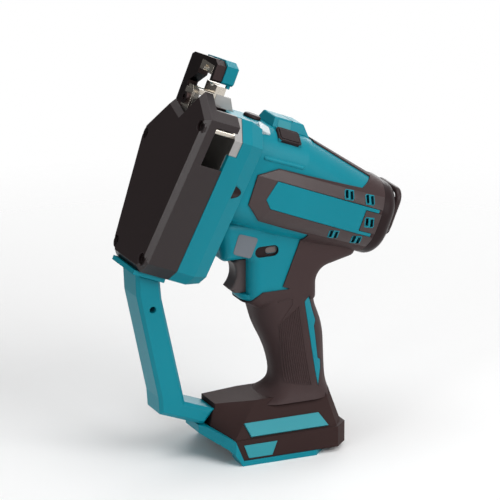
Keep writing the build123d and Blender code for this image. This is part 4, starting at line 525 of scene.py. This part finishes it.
def rounded(corners, radius):
    """Outline with its corners rounded."""
    points = []
    count = len(corners)
    for i, corner in enumerate(corners):
        here = Vector(corner)
        before = (Vector(corners[i - 1]) - here).normalized()
        after = (Vector(corners[(i + 1) % count]) - here).normalized()
        half = before.angle(after) / 2
        centre = here + (before + after).normalized() * (radius / math.sin(half))
        start = here + before * (radius / math.tan(half)) - centre
        end = here + after * (radius / math.tan(half)) - centre
        for k in range(ROUND_STEPS + 1):
            points.append(tuple(centre + start.lerp(end, k / ROUND_STEPS).normalized() * radius))
    return points


def grown(corners, growth):
    """Corners of a box about the middle, moved outwards both ways."""
    return [(x + math.copysign(growth, x), y + math.copysign(growth, y)) for x, y in corners]


def slot_outline(length, height):
    """Outline with half-round ends about the middle."""
    radius = height / 2
    reach = length / 2 - radius
    points = []
    for sign in (1, -1):
        for k in range(SLOT_STEPS + 1):
            turn = math.pi * k / SLOT_STEPS - math.pi / 2
            points.append((sign * (reach + radius * math.cos(turn)), sign * radius * math.sin(turn)))
    return points


def plain_mesh(made):
    graph = bpy.context.evaluated_depsgraph_get()
    return bpy.data.meshes.new_from_object(made.evaluated_get(graph))


def carve(made, cutter):
    """Cuts the cutter out of a piece and keeps the result as its plain mesh."""
    cut = made.modifiers.new("slots", "BOOLEAN")
    cut.operation = "DIFFERENCE"
    cut.solver = "EXACT"
    cut.object = cutter
    made.data = plain_mesh(made)
    made.modifiers.clear()


def surface_of(made):
    mesh = made.data
    points = [made.matrix_world @ vertex.co for vertex in mesh.vertices]
    return BVHTree.FromPolygons(points, [tuple(face.vertices) for face in mesh.polygons])


def geometry_group(name, inputs):
    """Geometry group with named inputs that ends in plain, coated geometry: also the socket that the
    shapes go to, and the inputs' identifiers."""
    tree = bpy.data.node_groups.new(name, "GeometryNodeTree")
    sockets = {}
    for label, kind in (*inputs, ("Finish", "Material")):
        made = tree.interface.new_socket(label, in_out="INPUT", socket_type=f"NodeSocket{kind}")
        sockets[label] = made.identifier
    tree.interface.new_socket("Pieces", in_out="OUTPUT", socket_type="NodeSocketGeometry")
    given, result = tree.nodes.new("NodeGroupInput"), tree.nodes.new("NodeGroupOutput")
    real = tree.nodes.new("GeometryNodeRealizeInstances")
    coat = tree.nodes.new("GeometryNodeSetMaterial")
    tree.links.new(real.outputs["Geometry"], coat.inputs["Geometry"])
    tree.links.new(given.outputs["Finish"], coat.inputs["Material"])
    tree.links.new(coat.outputs["Geometry"], result.inputs["Pieces"])
    return tree, given, real.inputs["Geometry"], sockets


def repeat_tree():
    """Geometry group that sets a shape on every point, turned by the point's own attribute."""
    inputs = (("Points", "Geometry"), ("Shape", "Object"))
    tree, given, shapes, sockets = geometry_group("repeat_on_points", inputs)
    shape = tree.nodes.new("GeometryNodeObjectInfo")
    turn = tree.nodes.new("GeometryNodeInputNamedAttribute")
    turn.data_type = "FLOAT_VECTOR"
    turn.inputs["Name"].default_value = "turn"
    spin = tree.nodes.new("FunctionNodeEulerToRotation")
    spread = tree.nodes.new("GeometryNodeInstanceOnPoints")
    tree.links.new(given.outputs["Shape"], shape.inputs["Object"])
    tree.links.new(turn.outputs["Attribute"], spin.inputs[0])
    tree.links.new(given.outputs["Points"], spread.inputs["Points"])
    tree.links.new(shape.outputs["Geometry"], spread.inputs["Instance"])
    tree.links.new(spin.outputs[0], spread.inputs["Rotation"])
    tree.links.new(spread.outputs["Instances"], shapes)
    return tree, sockets


def rib_tree():
    """Geometry group that turns lines into round ribs."""
    inputs = (("Lines", "Geometry"), ("Radius", "Float"))
    tree, given, shapes, sockets = geometry_group("ribs_on_lines", inputs)
    curves = tree.nodes.new("GeometryNodeMeshToCurve")
    section = tree.nodes.new("GeometryNodeCurvePrimitiveCircle")
    section.inputs["Resolution"].default_value = RIB_CORNERS
    sweep = tree.nodes.new("GeometryNodeCurveToMesh")
    sweep.inputs["Fill Caps"].default_value = True
    tree.links.new(given.outputs["Lines"], curves.inputs["Mesh"])
    tree.links.new(given.outputs["Radius"], section.inputs["Radius"])
    tree.links.new(curves.outputs["Curve"], sweep.inputs["Curve"])
    tree.links.new(section.outputs["Curve"], sweep.inputs["Profile Curve"])
    tree.links.new(sweep.outputs["Mesh"], shapes)
    return tree, sockets


REPEAT_TREE, REPEAT_SOCKETS = repeat_tree()
RIB_TREE, RIB_SOCKETS = rib_tree()


def grow(name, mesh, tree, inputs):
    """Plain object of what a geometry group makes of a mesh; the inputs go by their identifiers."""
    made = placed(name, mesh)
    group = made.modifiers.new("grow", "NODES")
    group.node_group = tree
    for identifier, value in inputs.items():
        group[identifier] = value
    made.data = plain_mesh(made)
    made.modifiers.clear()
    return made


def repeated(name, shape, places, slot):
    """One plain object holding the shape at every place, each place a point and a turn."""
    mesh = bpy.data.meshes.new(name)
    mesh.from_pydata([tuple(point) for point, turn in places], [], [])
    turns = mesh.attributes.new("turn", "FLOAT_VECTOR", "POINT")
    for entry, (point, turn) in zip(turns.data, places):
        entry.vector = turn
    inputs = {REPEAT_SOCKETS["Shape"]: shape, REPEAT_SOCKETS["Finish"]: FINISHES[slot]}
    made = grow(name, mesh, REPEAT_TREE, inputs)
    bpy.data.objects.remove(shape)
    return made


def barrel_side(depth, rise, proud):
    """Distance of the barrel's side from the middle plane, some way proud of it."""
    back = min(max((depth - BARREL_MIDDLE) / (BARREL_BACK - BARREL_MIDDLE), 0.0), 1.0)
    half, top, foot = [a + back * (b - a) for a, b in (BARREL_HALF, BARREL_TOP, BARREL_FOOT)]
    over = max(rise - top + BARREL_ROUND, foot + BARREL_ROUND - rise, 0.0)
    reach = BARREL_ROUND + proud
    return half - BARREL_ROUND + math.sqrt(max(reach**2 - over**2, 0.0))


def on_barrel(depth, rise, proud, sign):
    return head_point(depth, sign * barrel_side(depth, rise, proud), rise)


def draped_solid(name, patches, sign):
    """Closed piece of patches laid on the barrel; each patch has four corners and its steps."""
    form = bmesh.new()
    tops, feet = {}, {}
    for corners, across, along in patches:
        grid = []
        for i in range(across + 1):
            row = []
            for j in range(along + 1):
                u, v = i / across, j / along
                weights = ((1 - u) * (1 - v), (1 - u) * v, u * v, u * (1 - v))
                depth, rise, height = [sum(w * c[k] for w, c in zip(weights, corners)) for k in range(3)]
                key = (round(depth, WELD_DIGITS), round(rise, WELD_DIGITS))
                if key not in tops:
                    tops[key] = form.verts.new(on_barrel(depth, rise, SKIN + height, sign))
                    feet[key] = form.verts.new(on_barrel(depth, rise, SKIN - SKIN_SINK, sign))
                row.append(key)
            grid.append(row)
        for i in range(across):
            for j in range(along):
                ring = (grid[i][j], grid[i][j + 1], grid[i + 1][j + 1], grid[i + 1][j])
                ring = list(dict.fromkeys(ring))
                if len(ring) > 2:
                    form.faces.new([tops[key] for key in ring])
    under = {top: feet[key] for key, top in tops.items()}
    upper = list(form.faces)
    rim = [edge for edge in form.edges if len(edge.link_faces) == 1]
    for face in upper:
        form.faces.new([under[vertex] for vertex in reversed(face.verts)])
    for edge in rim:
        first, second = edge.verts
        form.faces.new((first, second, under[second], under[first]))
    return solid_object(name, form)


def slot_corner(x, z):
    """Offset by depth and rise of a point in a slot that leans forward at its top."""
    lean, stand = math.sin(VENT_SLANT), math.cos(VENT_SLANT)
    return (-x * stand - z * lean, -x * lean + z * stand)


def vent_cutter(sign):
    """Bars through one side of the barrel, where the air slots go."""
    form = bmesh.new()
    half, length = VENT_WIDTH / 2, VENT_LENGTH / 2
    corners = ((-half, -length), (half, -length), (half, length), (-half, length))
    outline = [slot_corner(x, z) for x, z in corners]
    for middle, rise in VENT_PLACES:
        for depth in (middle - VENT_STEP / 2, middle + VENT_STEP / 2):
            loops = []
            for side in (VENT_INNER, OUTSIDE):
                points = [head_point(depth + a, sign * side, rise + b) for a, b in outline]
                loops.append(loop_of(form, points))
            stack_loops(form, loops)
    return solid_object("vent_cutter", form)


def rim_shape(sign):
    """Flat rim about a pair of air slots, before they are cut through it."""
    wide, tall = VENT_WIDTH / 2 + VENT_RIM, VENT_LENGTH / 2 + VENT_RIM
    corners = (
        (-wide, -tall + VENT_RIM_CUT),
        (-wide + VENT_RIM_CUT, -tall),
        (wide, -tall),
        (wide, tall - VENT_RIM_CUT),
        (wide - VENT_RIM_CUT, tall),
        (-wide, tall),
    )
    outline = []
    for x, z in corners:
        along, up = slot_corner(x, z)
        outline.append((along - math.copysign(VENT_STEP / 2, x), up))
    form = bmesh.new()
    loops = []
    for share, height in VENT_RIM_LAYERS:
        loops.append(loop_of(form, [Vector((share * a, sign * share * b, height)) * MM for a, b in outline]))
    stack_loops(form, loops)
    return solid_object("vent_rim_shape", form)


def vent_rims(side, sign, surfaces, cutter):
    """Bright rims round the pairs of air slots, lying on the panel."""
    places = []
    for depth, rise in VENT_PLACES:
        start = head_point(depth, sign * OUTSIDE, rise)
        hits = [surface.ray_cast(start, Vector((0, -sign, 0))) for surface in surfaces]
        spot, normal = min((hit for hit in hits if hit[0]), key=lambda hit: hit[3])[:2]
        across = (HEAD_ALONG - HEAD_ALONG.dot(normal) * normal).normalized()
        turn = Matrix((across, normal.cross(across), normal)).transposed().to_euler()
        places.append((spot, turn))
    rims = repeated(f"vent_rims_{side}", rim_shape(sign), places, "teal_plastic")
    carve(rims, cutter)
    settle(rims, "teal_plastic")


def panel_patches():
    """Facets of the dark panel round the bright band."""
    long, short = PANEL_LONG_STEPS, PANEL_STEPS
    return (
        ((PANEL_TOP_LEFT, PANEL_TOP_RIGHT, BAND_TOP_RIGHT, BAND_TOP_LEFT), short, long),
        ((PANEL_LEFT_TOP, PANEL_TOP_LEFT, BAND_TOP_LEFT, BAND_TOP_LEFT), short, short),
        ((PANEL_LEFT_TOP, PANEL_LEFT_FOOT, BAND_TIP, BAND_TOP_LEFT), short, short),
        ((PANEL_LEFT_FOOT, PANEL_FOOT_LEFT, BAND_FOOT_LEFT, BAND_TIP), short, short),
        ((PANEL_FOOT_LEFT, PANEL_FOOT_RIGHT, BAND_FOOT_RIGHT, BAND_FOOT_LEFT), short, long),
    )


def band_patches():
    """Bright band with its pointed front and the two legs behind it."""
    level = CREST - BAND_DROP
    high, low = BAND_TOP_LEFT[1] - BAND_GAP, BAND_FOOT_LEFT[1] + BAND_GAP
    leg_high, leg_low = high - BAND_LEG, low + BAND_LEG
    front_high, front_low = BAND_TOP_LEFT[0] + BAND_GAP, BAND_FOOT_LEFT[0] + BAND_GAP
    tip = (BAND_TIP[0] + BAND_GAP, BAND_TIP[1], level)
    fall = (front_low - front_high) / (low - high)

    def front(rise):
        return (front_high + fall * (rise - high), rise, level)

    patches = []
    for foot, top in ((low, leg_low), (leg_low, leg_high), (leg_high, high)):
        patches.append(((tip, tip, front(foot), front(top)), BAND_TIP_STEPS, 1))
    for top, foot in ((high, leg_high), (leg_high, leg_low), (leg_low, low)):
        corners = (front(top), (BAND_END, top, level), (BAND_END, foot, level), front(foot))
        patches.append((corners, 1, PANEL_LONG_STEPS))
    for top, foot in ((high, leg_high), (leg_low, low)):
        ends = ((BAND_LEG_END, top, CREST_BACK), (BAND_LEG_END, foot, CREST_BACK))
        patches.append((((BAND_END, top, level), *ends, (BAND_END, foot, level)), 1, PANEL_STEPS))
    return patches


def tab_patches():
    """Dark tab between the band's legs."""
    start = BAND_END + BAND_GAP
    high = BAND_TOP_LEFT[1] - BAND_LEG - 2 * BAND_GAP
    low = BAND_FOOT_LEFT[1] + BAND_LEG + 2 * BAND_GAP
    ends = ((PANEL_END, high, CREST_BACK), (PANEL_END, low, CREST_BACK))
    return ((((start, high, CREST), *ends, (start, low, CREST)), PANEL_STEPS, PANEL_STEPS),)


def side_panels():
    """Bevelled dark panel, bright band, rear tab and air slots on both sides of the barrel."""
    for sign, side in SIDES:
        cutter = vent_cutter(sign)
        panel = draped_solid(f"panel_{side}", panel_patches(), sign)
        tab = draped_solid(f"panel_tab_{side}", tab_patches(), sign)
        vent_rims(side, sign, (surface_of(panel), surface_of(tab)), cutter)
        for made in (panel, tab):
            carve(made, cutter)
            settle(made, "dark_rubber", finish="panel_dark")
        settle(draped_solid(f"panel_band_{side}", band_patches(), sign), "teal_plastic")
        bpy.data.objects.remove(cutter)


def grip_lines():
    """Lines of the grip's relief by X and Z: the ribs, and the lip over them."""
    lines = []
    for i in range(RIB_COUNT):
        across = i / (RIB_COUNT - 1)
        top = Vector(RIB_FIELD_TOP[0]).lerp(Vector(RIB_FIELD_TOP[1]), across)
        foot = Vector(RIB_FIELD_FOOT[0]).lerp(Vector(RIB_FIELD_FOOT[1]), across)
        lines.append([top.lerp(foot, k / RIB_STEPS) for k in range(RIB_STEPS + 1)])
    lip = [Vector(LIP_CORNERS[0])]
    for first, second in zip(LIP_CORNERS, LIP_CORNERS[1:]):
        lip += [Vector(first).lerp(Vector(second), (k + 1) / LIP_STEPS) for k in range(LIP_STEPS)]
    return lines + [lip]


def grip_ribs():
    """Fine ribs and a raised lip on both sides of the grip, laid on its cover."""
    for sign, side in SIDES:
        surface = surface_of(NODES[f"overmould_{side}"])
        points, lines = [], []
        for line in grip_lines():
            last = None
            for x, z in line:
                start = Vector((x, sign * OUTSIDE, z)) * MM
                spot, normal = surface.ray_cast(start, Vector((0, -sign, 0)))[:2]
                if spot is None:
                    last = None
                    continue
                points.append(tuple(spot - MM * RIB_SINK * normal))
                if last is not None:
                    lines.append((last, len(points) - 1))
                last = len(points) - 1
        name = f"grip_ribs_{side}"
        mesh = bpy.data.meshes.new(name)
        mesh.from_pydata(points, lines, [])
        inputs = {RIB_SOCKETS["Radius"]: MM * RIB_RADIUS, RIB_SOCKETS["Finish"]: FINISHES["dark_rubber"]}
        settle(grow(name, mesh, RIB_TREE, inputs), "dark_rubber")


def barrel_beads():
    """Round bead along each side of the barrel above the panel, with domed ends."""
    for sign, side in SIDES:
        form = bmesh.new()
        loops = []
        for i in range(BEAD_STEPS + 1):
            part = i / BEAD_STEPS
            depth = BEAD_FRONT + part * (BEAD_BACK - BEAD_FRONT)
            rise = BEAD_RISE[0] + part * (BEAD_RISE[1] - BEAD_RISE[0])
            inward = min(depth - BEAD_FRONT, BEAD_BACK - depth, BEAD_RADIUS) / BEAD_RADIUS
            dome = math.sqrt(max(2 * inward - inward**2, 0.0))
            radius = BEAD_RADIUS * (BEAD_TIP_SHARE + (1 - BEAD_TIP_SHARE) * dome)
            points = []
            for k in range(BEAD_CORNERS):
                turn = 2 * math.pi * k / BEAD_CORNERS
                lift = BEAD_HEIGHT_SHARE * radius * math.sin(turn)
                points.append(on_barrel(depth, rise + radius * math.cos(turn), lift, sign))
            loops.append(loop_of(form, points))
        stack_loops(form, loops)
        bead = solid_object(f"barrel_bead_{side}", form)
        for face in bead.data.polygons:
            face.use_smooth = True
        settle(bead, "teal_plastic")


def neck_plate():
    """Bare grey plate on the left of the neck, beside the lock button."""
    outline = rounded(PLATE_CORNERS, PLATE_ROUND)
    form = bmesh.new()
    loops = []
    for y in (NECK_HALF - PLATE_SINK, NECK_HALF + PLATE_PROUD):
        loops.append(loop_of(form, [Vector((x, y, z)) * MM for x, z in outline]))
    stack_loops(form, loops)
    settle(solid_object("neck_plate", form), "grey_plastic", finish="plate_grey")


def top_plate():
    """Bare lighter plate on the left slope of the top cover."""
    outline = rounded(TOP_PLATE, TOP_PLATE_ROUND)
    slope = (TOP_SLOPE_EDGE - TOP_SLOPE_FOOT).normalized()
    outward = Vector((slope.y, -slope.x))
    form = bmesh.new()
    loops = []
    for height in (-PLATE_SINK, PLATE_PROUD):
        spots = [(depth, TOP_SLOPE_FOOT + up * slope + height * outward) for depth, up in outline]
        loops.append(loop_of(form, [head_point(depth, side, rise) for depth, (side, rise) in spots]))
    stack_loops(form, loops)
    settle(solid_object("top_plate", form), "teal_plastic", finish="plate_teal")


def lock_hollow_shades():
    """Dark linings of painted shade in the finger hollows round the lock button."""
    outer = slot_outline(POCKET_LENGTH - SHADE_OUTSIDE, POCKET_HEIGHT - SHADE_OUTSIDE)
    inner = slot_outline(POCKET_LENGTH - SHADE_INSIDE, POCKET_HEIGHT - SHADE_INSIDE)
    bolt = slot_outline(BOLT_LENGTH + SHADE_HOLE, BOLT_HEIGHT + SHADE_HOLE)
    hole = [(x - LOCK_SHIFT, z) for x, z in bolt]
    top, floor = NECK_HALF - SHADE_DROP, NECK_HALF - POCKET_DEPTH
    step = floor + SHADE_FLOOR
    rings = ((outer, top), (inner, top), (inner, step), (hole, step), (hole, floor), (outer, floor))
    for sign, side in SIDES:
        form = bmesh.new()
        loops = []
        for outline, y in rings:
            points = [Vector((LOCK_X + x, sign * y, LOCK_Z + z)) * MM for x, z in outline]
            loops.append(loop_of(form, points))
        ring_loops(form, loops)
        # The dark finish paints the shade that falls in the hollows.
        settle(solid_object(f"lock_lining_{side}", form), "dark_plastic")


def screw_well_shades():
    """Dark linings of painted shade in the screw wells, cut off where the flange slopes away."""
    for side, sign, flange, arc, least in FLANGE_SIDES:
        form = bmesh.new()
        loops = []
        for i in range(WELL_STEPS + 1):
            turn = math.pi + math.radians(arc) * (2 * i / WELL_STEPS - 1)
            section = []
            for radius in (WELL_INNER, WELL_OUTER):
                y = max(WELL_SIDE + radius * math.cos(turn), least + WELL_INNER - radius)
                rise = WELL_RISE + radius * math.sin(turn)
                slope = FLANGE_SHOULDER + max(flange - y, WELL_EDGE_LEAST) / FLANGE_SLOPE
                end = max(min(slope - WELL_EDGE_DROP, FLANGE_BACK), WELL_LEAST)
                section.append([head_point(depth, sign * y, rise) for depth in (WELL_FRONT, end)])
            (front, back), (outer_front, outer_back) = section
            loops.append(loop_of(form, (front, back, outer_back, outer_front)))
        stack_loops(form, loops)
        # The dark finish paints the shade inside the wells.
        settle(solid_object(f"flange_well_{side}", form), "dark_plastic")


def shoulder_point(depth, along, height):
    """Point over the left shoulder; along runs outwards and down from its middle line."""
    reach = BARREL_ROUND + height
    lean, stand = math.sin(SHOULDER_TILT), math.cos(SHOULDER_TILT)
    side = BARREL_HALF[0] - BARREL_ROUND + reach * lean + along * stand
    rise = BARREL_TOP[0] - BARREL_ROUND + reach * stand - along * lean
    return head_point(depth, side, rise)


def lamp_window():
    """Lens of the work lamp with softened edges, standing over the flange's slope."""
    half, wide, narrow = LENS_LENGTH / 2, LENS_WIDE / 2, LENS_NARROW / 2
    corners = ((-half, -wide), (half, -narrow), (half, narrow), (-half, wide))
    outer = rounded(corners, LENS_ROUND)
    inner = rounded([(LENS_TOP_SHARE * x, LENS_TOP_SHARE * y) for x, y in corners], LENS_TOP_ROUND)
    fall = (LENS_BACK_PROUD - LENS_FRONT_PROUD) / LENS_LENGTH
    middle = (LENS_FRONT_PROUD + LENS_BACK_PROUD) / 2
    form = bmesh.new()
    loops = []
    for outline, sink in ((outer, LENS_SINK), (outer, LENS_BEVEL), (inner, 0.0)):
        points = [shoulder_point(LENS_DEPTH + x, y, middle + fall * x - sink) for x, y in outline]
        loops.append(loop_of(form, points))
    stack_loops(form, loops)
    lens = solid_object("lamp_window", form)
    settle(lens, "lamp")
    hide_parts("lamp_lens")


def return_rim():
    """Rounded dark rim round the return button."""
    length, width = RETURN_LENGTH / 2 + RETURN_GAP, RETURN_WIDTH / 2 + RETURN_GAP
    corners = ((-length, -width), (length, -width), (length, width), (-length, width))
    hole = rounded(corners, RETURN_HOLE_ROUND)
    lip = rounded(grown(corners, RETURN_LIP), RETURN_LIP_ROUND)
    crown = rounded(grown(corners, RETURN_RIM - RETURN_LIP), RETURN_CROWN_ROUND)
    outside = rounded(grown(corners, RETURN_RIM), RETURN_RIM_ROUND)
    rings = (
        (hole, RETURN_RIM_FOOT),
        (hole, RETURN_RIM_TOP - RETURN_LIP_DROP),
        (lip, RETURN_RIM_TOP),
        (crown, RETURN_RIM_TOP),
        (outside, RETURN_RIM_TOP - RETURN_LIP),
        (outside, RETURN_RIM_FOOT),
    )
    form = bmesh.new()
    loops = []
    for outline, height in rings:
        loops.append(loop_of(form, [shoulder_point(RETURN_DEPTH + x, y, height) for x, y in outline]))
    ring_loops(form, loops)
    settle(solid_object("return_rim", form), "dark_plastic")


def stage_floor():
    """Pale round floor that keeps the shadow and fades into the white surround."""
    finish = Finish("studio_floor")
    reach = finish.node("ShaderNodeVectorMath", {"operation": "LENGTH"}, {0: finish.place}).outputs["Value"]
    near, far = FLOOR_FADE
    sockets = {"Value": reach, "From Min": near, "From Max": far, "To Min": 0.0, "To Max": 1.0}
    fade = finish.node("ShaderNodeMapRange", {}, sockets).outputs["Result"]
    finish.set(Base_Color=colour(250, 250, 250), Roughness=0.9, Specular_IOR_Level=0.1)
    clear = finish.node("ShaderNodeBsdfTransparent", {}, {}).outputs["BSDF"]
    blend = finish.node("ShaderNodeMixShader", {}, {0: fade, 1: finish.shader.outputs["BSDF"], 2: clear})
    finish.feed(finish.tree.nodes["Material Output"].inputs["Surface"], blend.outputs["Shader"])
    turns = [2 * math.pi * i / FLOOR_CORNERS for i in range(FLOOR_CORNERS)]
    ring = [(FLOOR_RADIUS * math.cos(turn), FLOOR_RADIUS * math.sin(turn), 0) for turn in turns]
    mesh = bpy.data.meshes.new("floor")
    mesh.from_pydata(ring, [], [list(range(FLOOR_CORNERS))])
    mesh.materials.append(finish.material)
    floor = placed("floor", mesh)


def softboxes():
    """Soft lamps round the tool."""
    for name, place, size, power in SOFTBOXES:
        lamp = bpy.data.lights.new(name, "AREA")
        lamp.shape = "RECTANGLE"
        lamp.size, lamp.size_y = size
        lamp.energy = power
        box = placed(name, lamp)
        box.location = place
        box.rotation_euler = (Vector(STUDIO_MIDDLE) - Vector(place)).to_track_quat("-Z", "Y").to_euler()


def surround():
    """White surround that the camera and the gloss see, dimmer as a light; the gloss sees a dark side."""
    world = bpy.data.worlds.new("studio_surround")
    world.use_nodes = True
    bpy.context.scene.world = world
    nodes = ShaderNodes(world.node_tree)
    rays = nodes.node("ShaderNodeLightPath", {}, {}).outputs
    kinds = ("Camera", "Glossy", "Transmission")
    camera, gloss, through = [Value(nodes, rays[f"Is {kind} Ray"]) for kind in kinds]
    sockets = {"Value": camera + (gloss + through), "To Min": SURROUND_LIGHT, "To Max": SURROUND_SEEN}
    level = Value(nodes, nodes.node("ShaderNodeMapRange", {}, sockets).outputs["Result"])
    direction = nodes.node("ShaderNodeTexCoord", {}, {}).outputs["Generated"]
    sockets = {0: direction, 1: Vector(FLAG_DIRECTION).normalized()}
    toward = nodes.node("ShaderNodeVectorMath", {"operation": "DOT_PRODUCT"}, sockets).outputs["Value"]
    edge, core = math.cos(FLAG_EDGE), math.cos(FLAG_CORE)
    sockets = {"Value": toward, "From Min": edge, "From Max": core, "To Min": 0.0, "To Max": FLAG_DEPTH}
    flag = Value(nodes, nodes.node("ShaderNodeMapRange", {}, sockets).outputs["Result"])
    background = world.node_tree.nodes["Background"]
    nodes.feed(background.inputs["Color"], (1.0, 1.0, 1.0, 1.0))
    nodes.feed(background.inputs["Strength"], level - flag * gloss)


def photo_camera():
    """Camera with the photograph's view and scale."""
    level = math.cos(VIEW_ELEVATION)
    back = Vector((math.sin(VIEW_AZIMUTH) * level, -math.cos(VIEW_AZIMUTH) * level, math.sin(VIEW_ELEVATION)))
    lens = bpy.data.cameras.new("photo_camera")
    lens.sensor_width = SENSOR
    lens.lens = SENSOR * PIXELS_PER_METRE * VIEW_DISTANCE / IMAGE_SIDE
    lens.clip_end = VIEW_REACH
    camera = placed("photo_camera", lens)
    camera.location = VIEW_POINT + VIEW_DISTANCE * back
    camera.rotation_euler = (-back).to_track_quat("-Z", "Y").to_euler()
    bpy.context.scene.camera = camera


dress_nodes()
side_panels()
grip_ribs()
barrel_beads()
neck_plate()
top_plate()
lock_hollow_shades()
screw_well_shades()
lamp_window()
return_rim()
stage_floor()
softboxes()
surround()
photo_camera()
bpy.context.scene.view_settings.view_transform = "Standard"
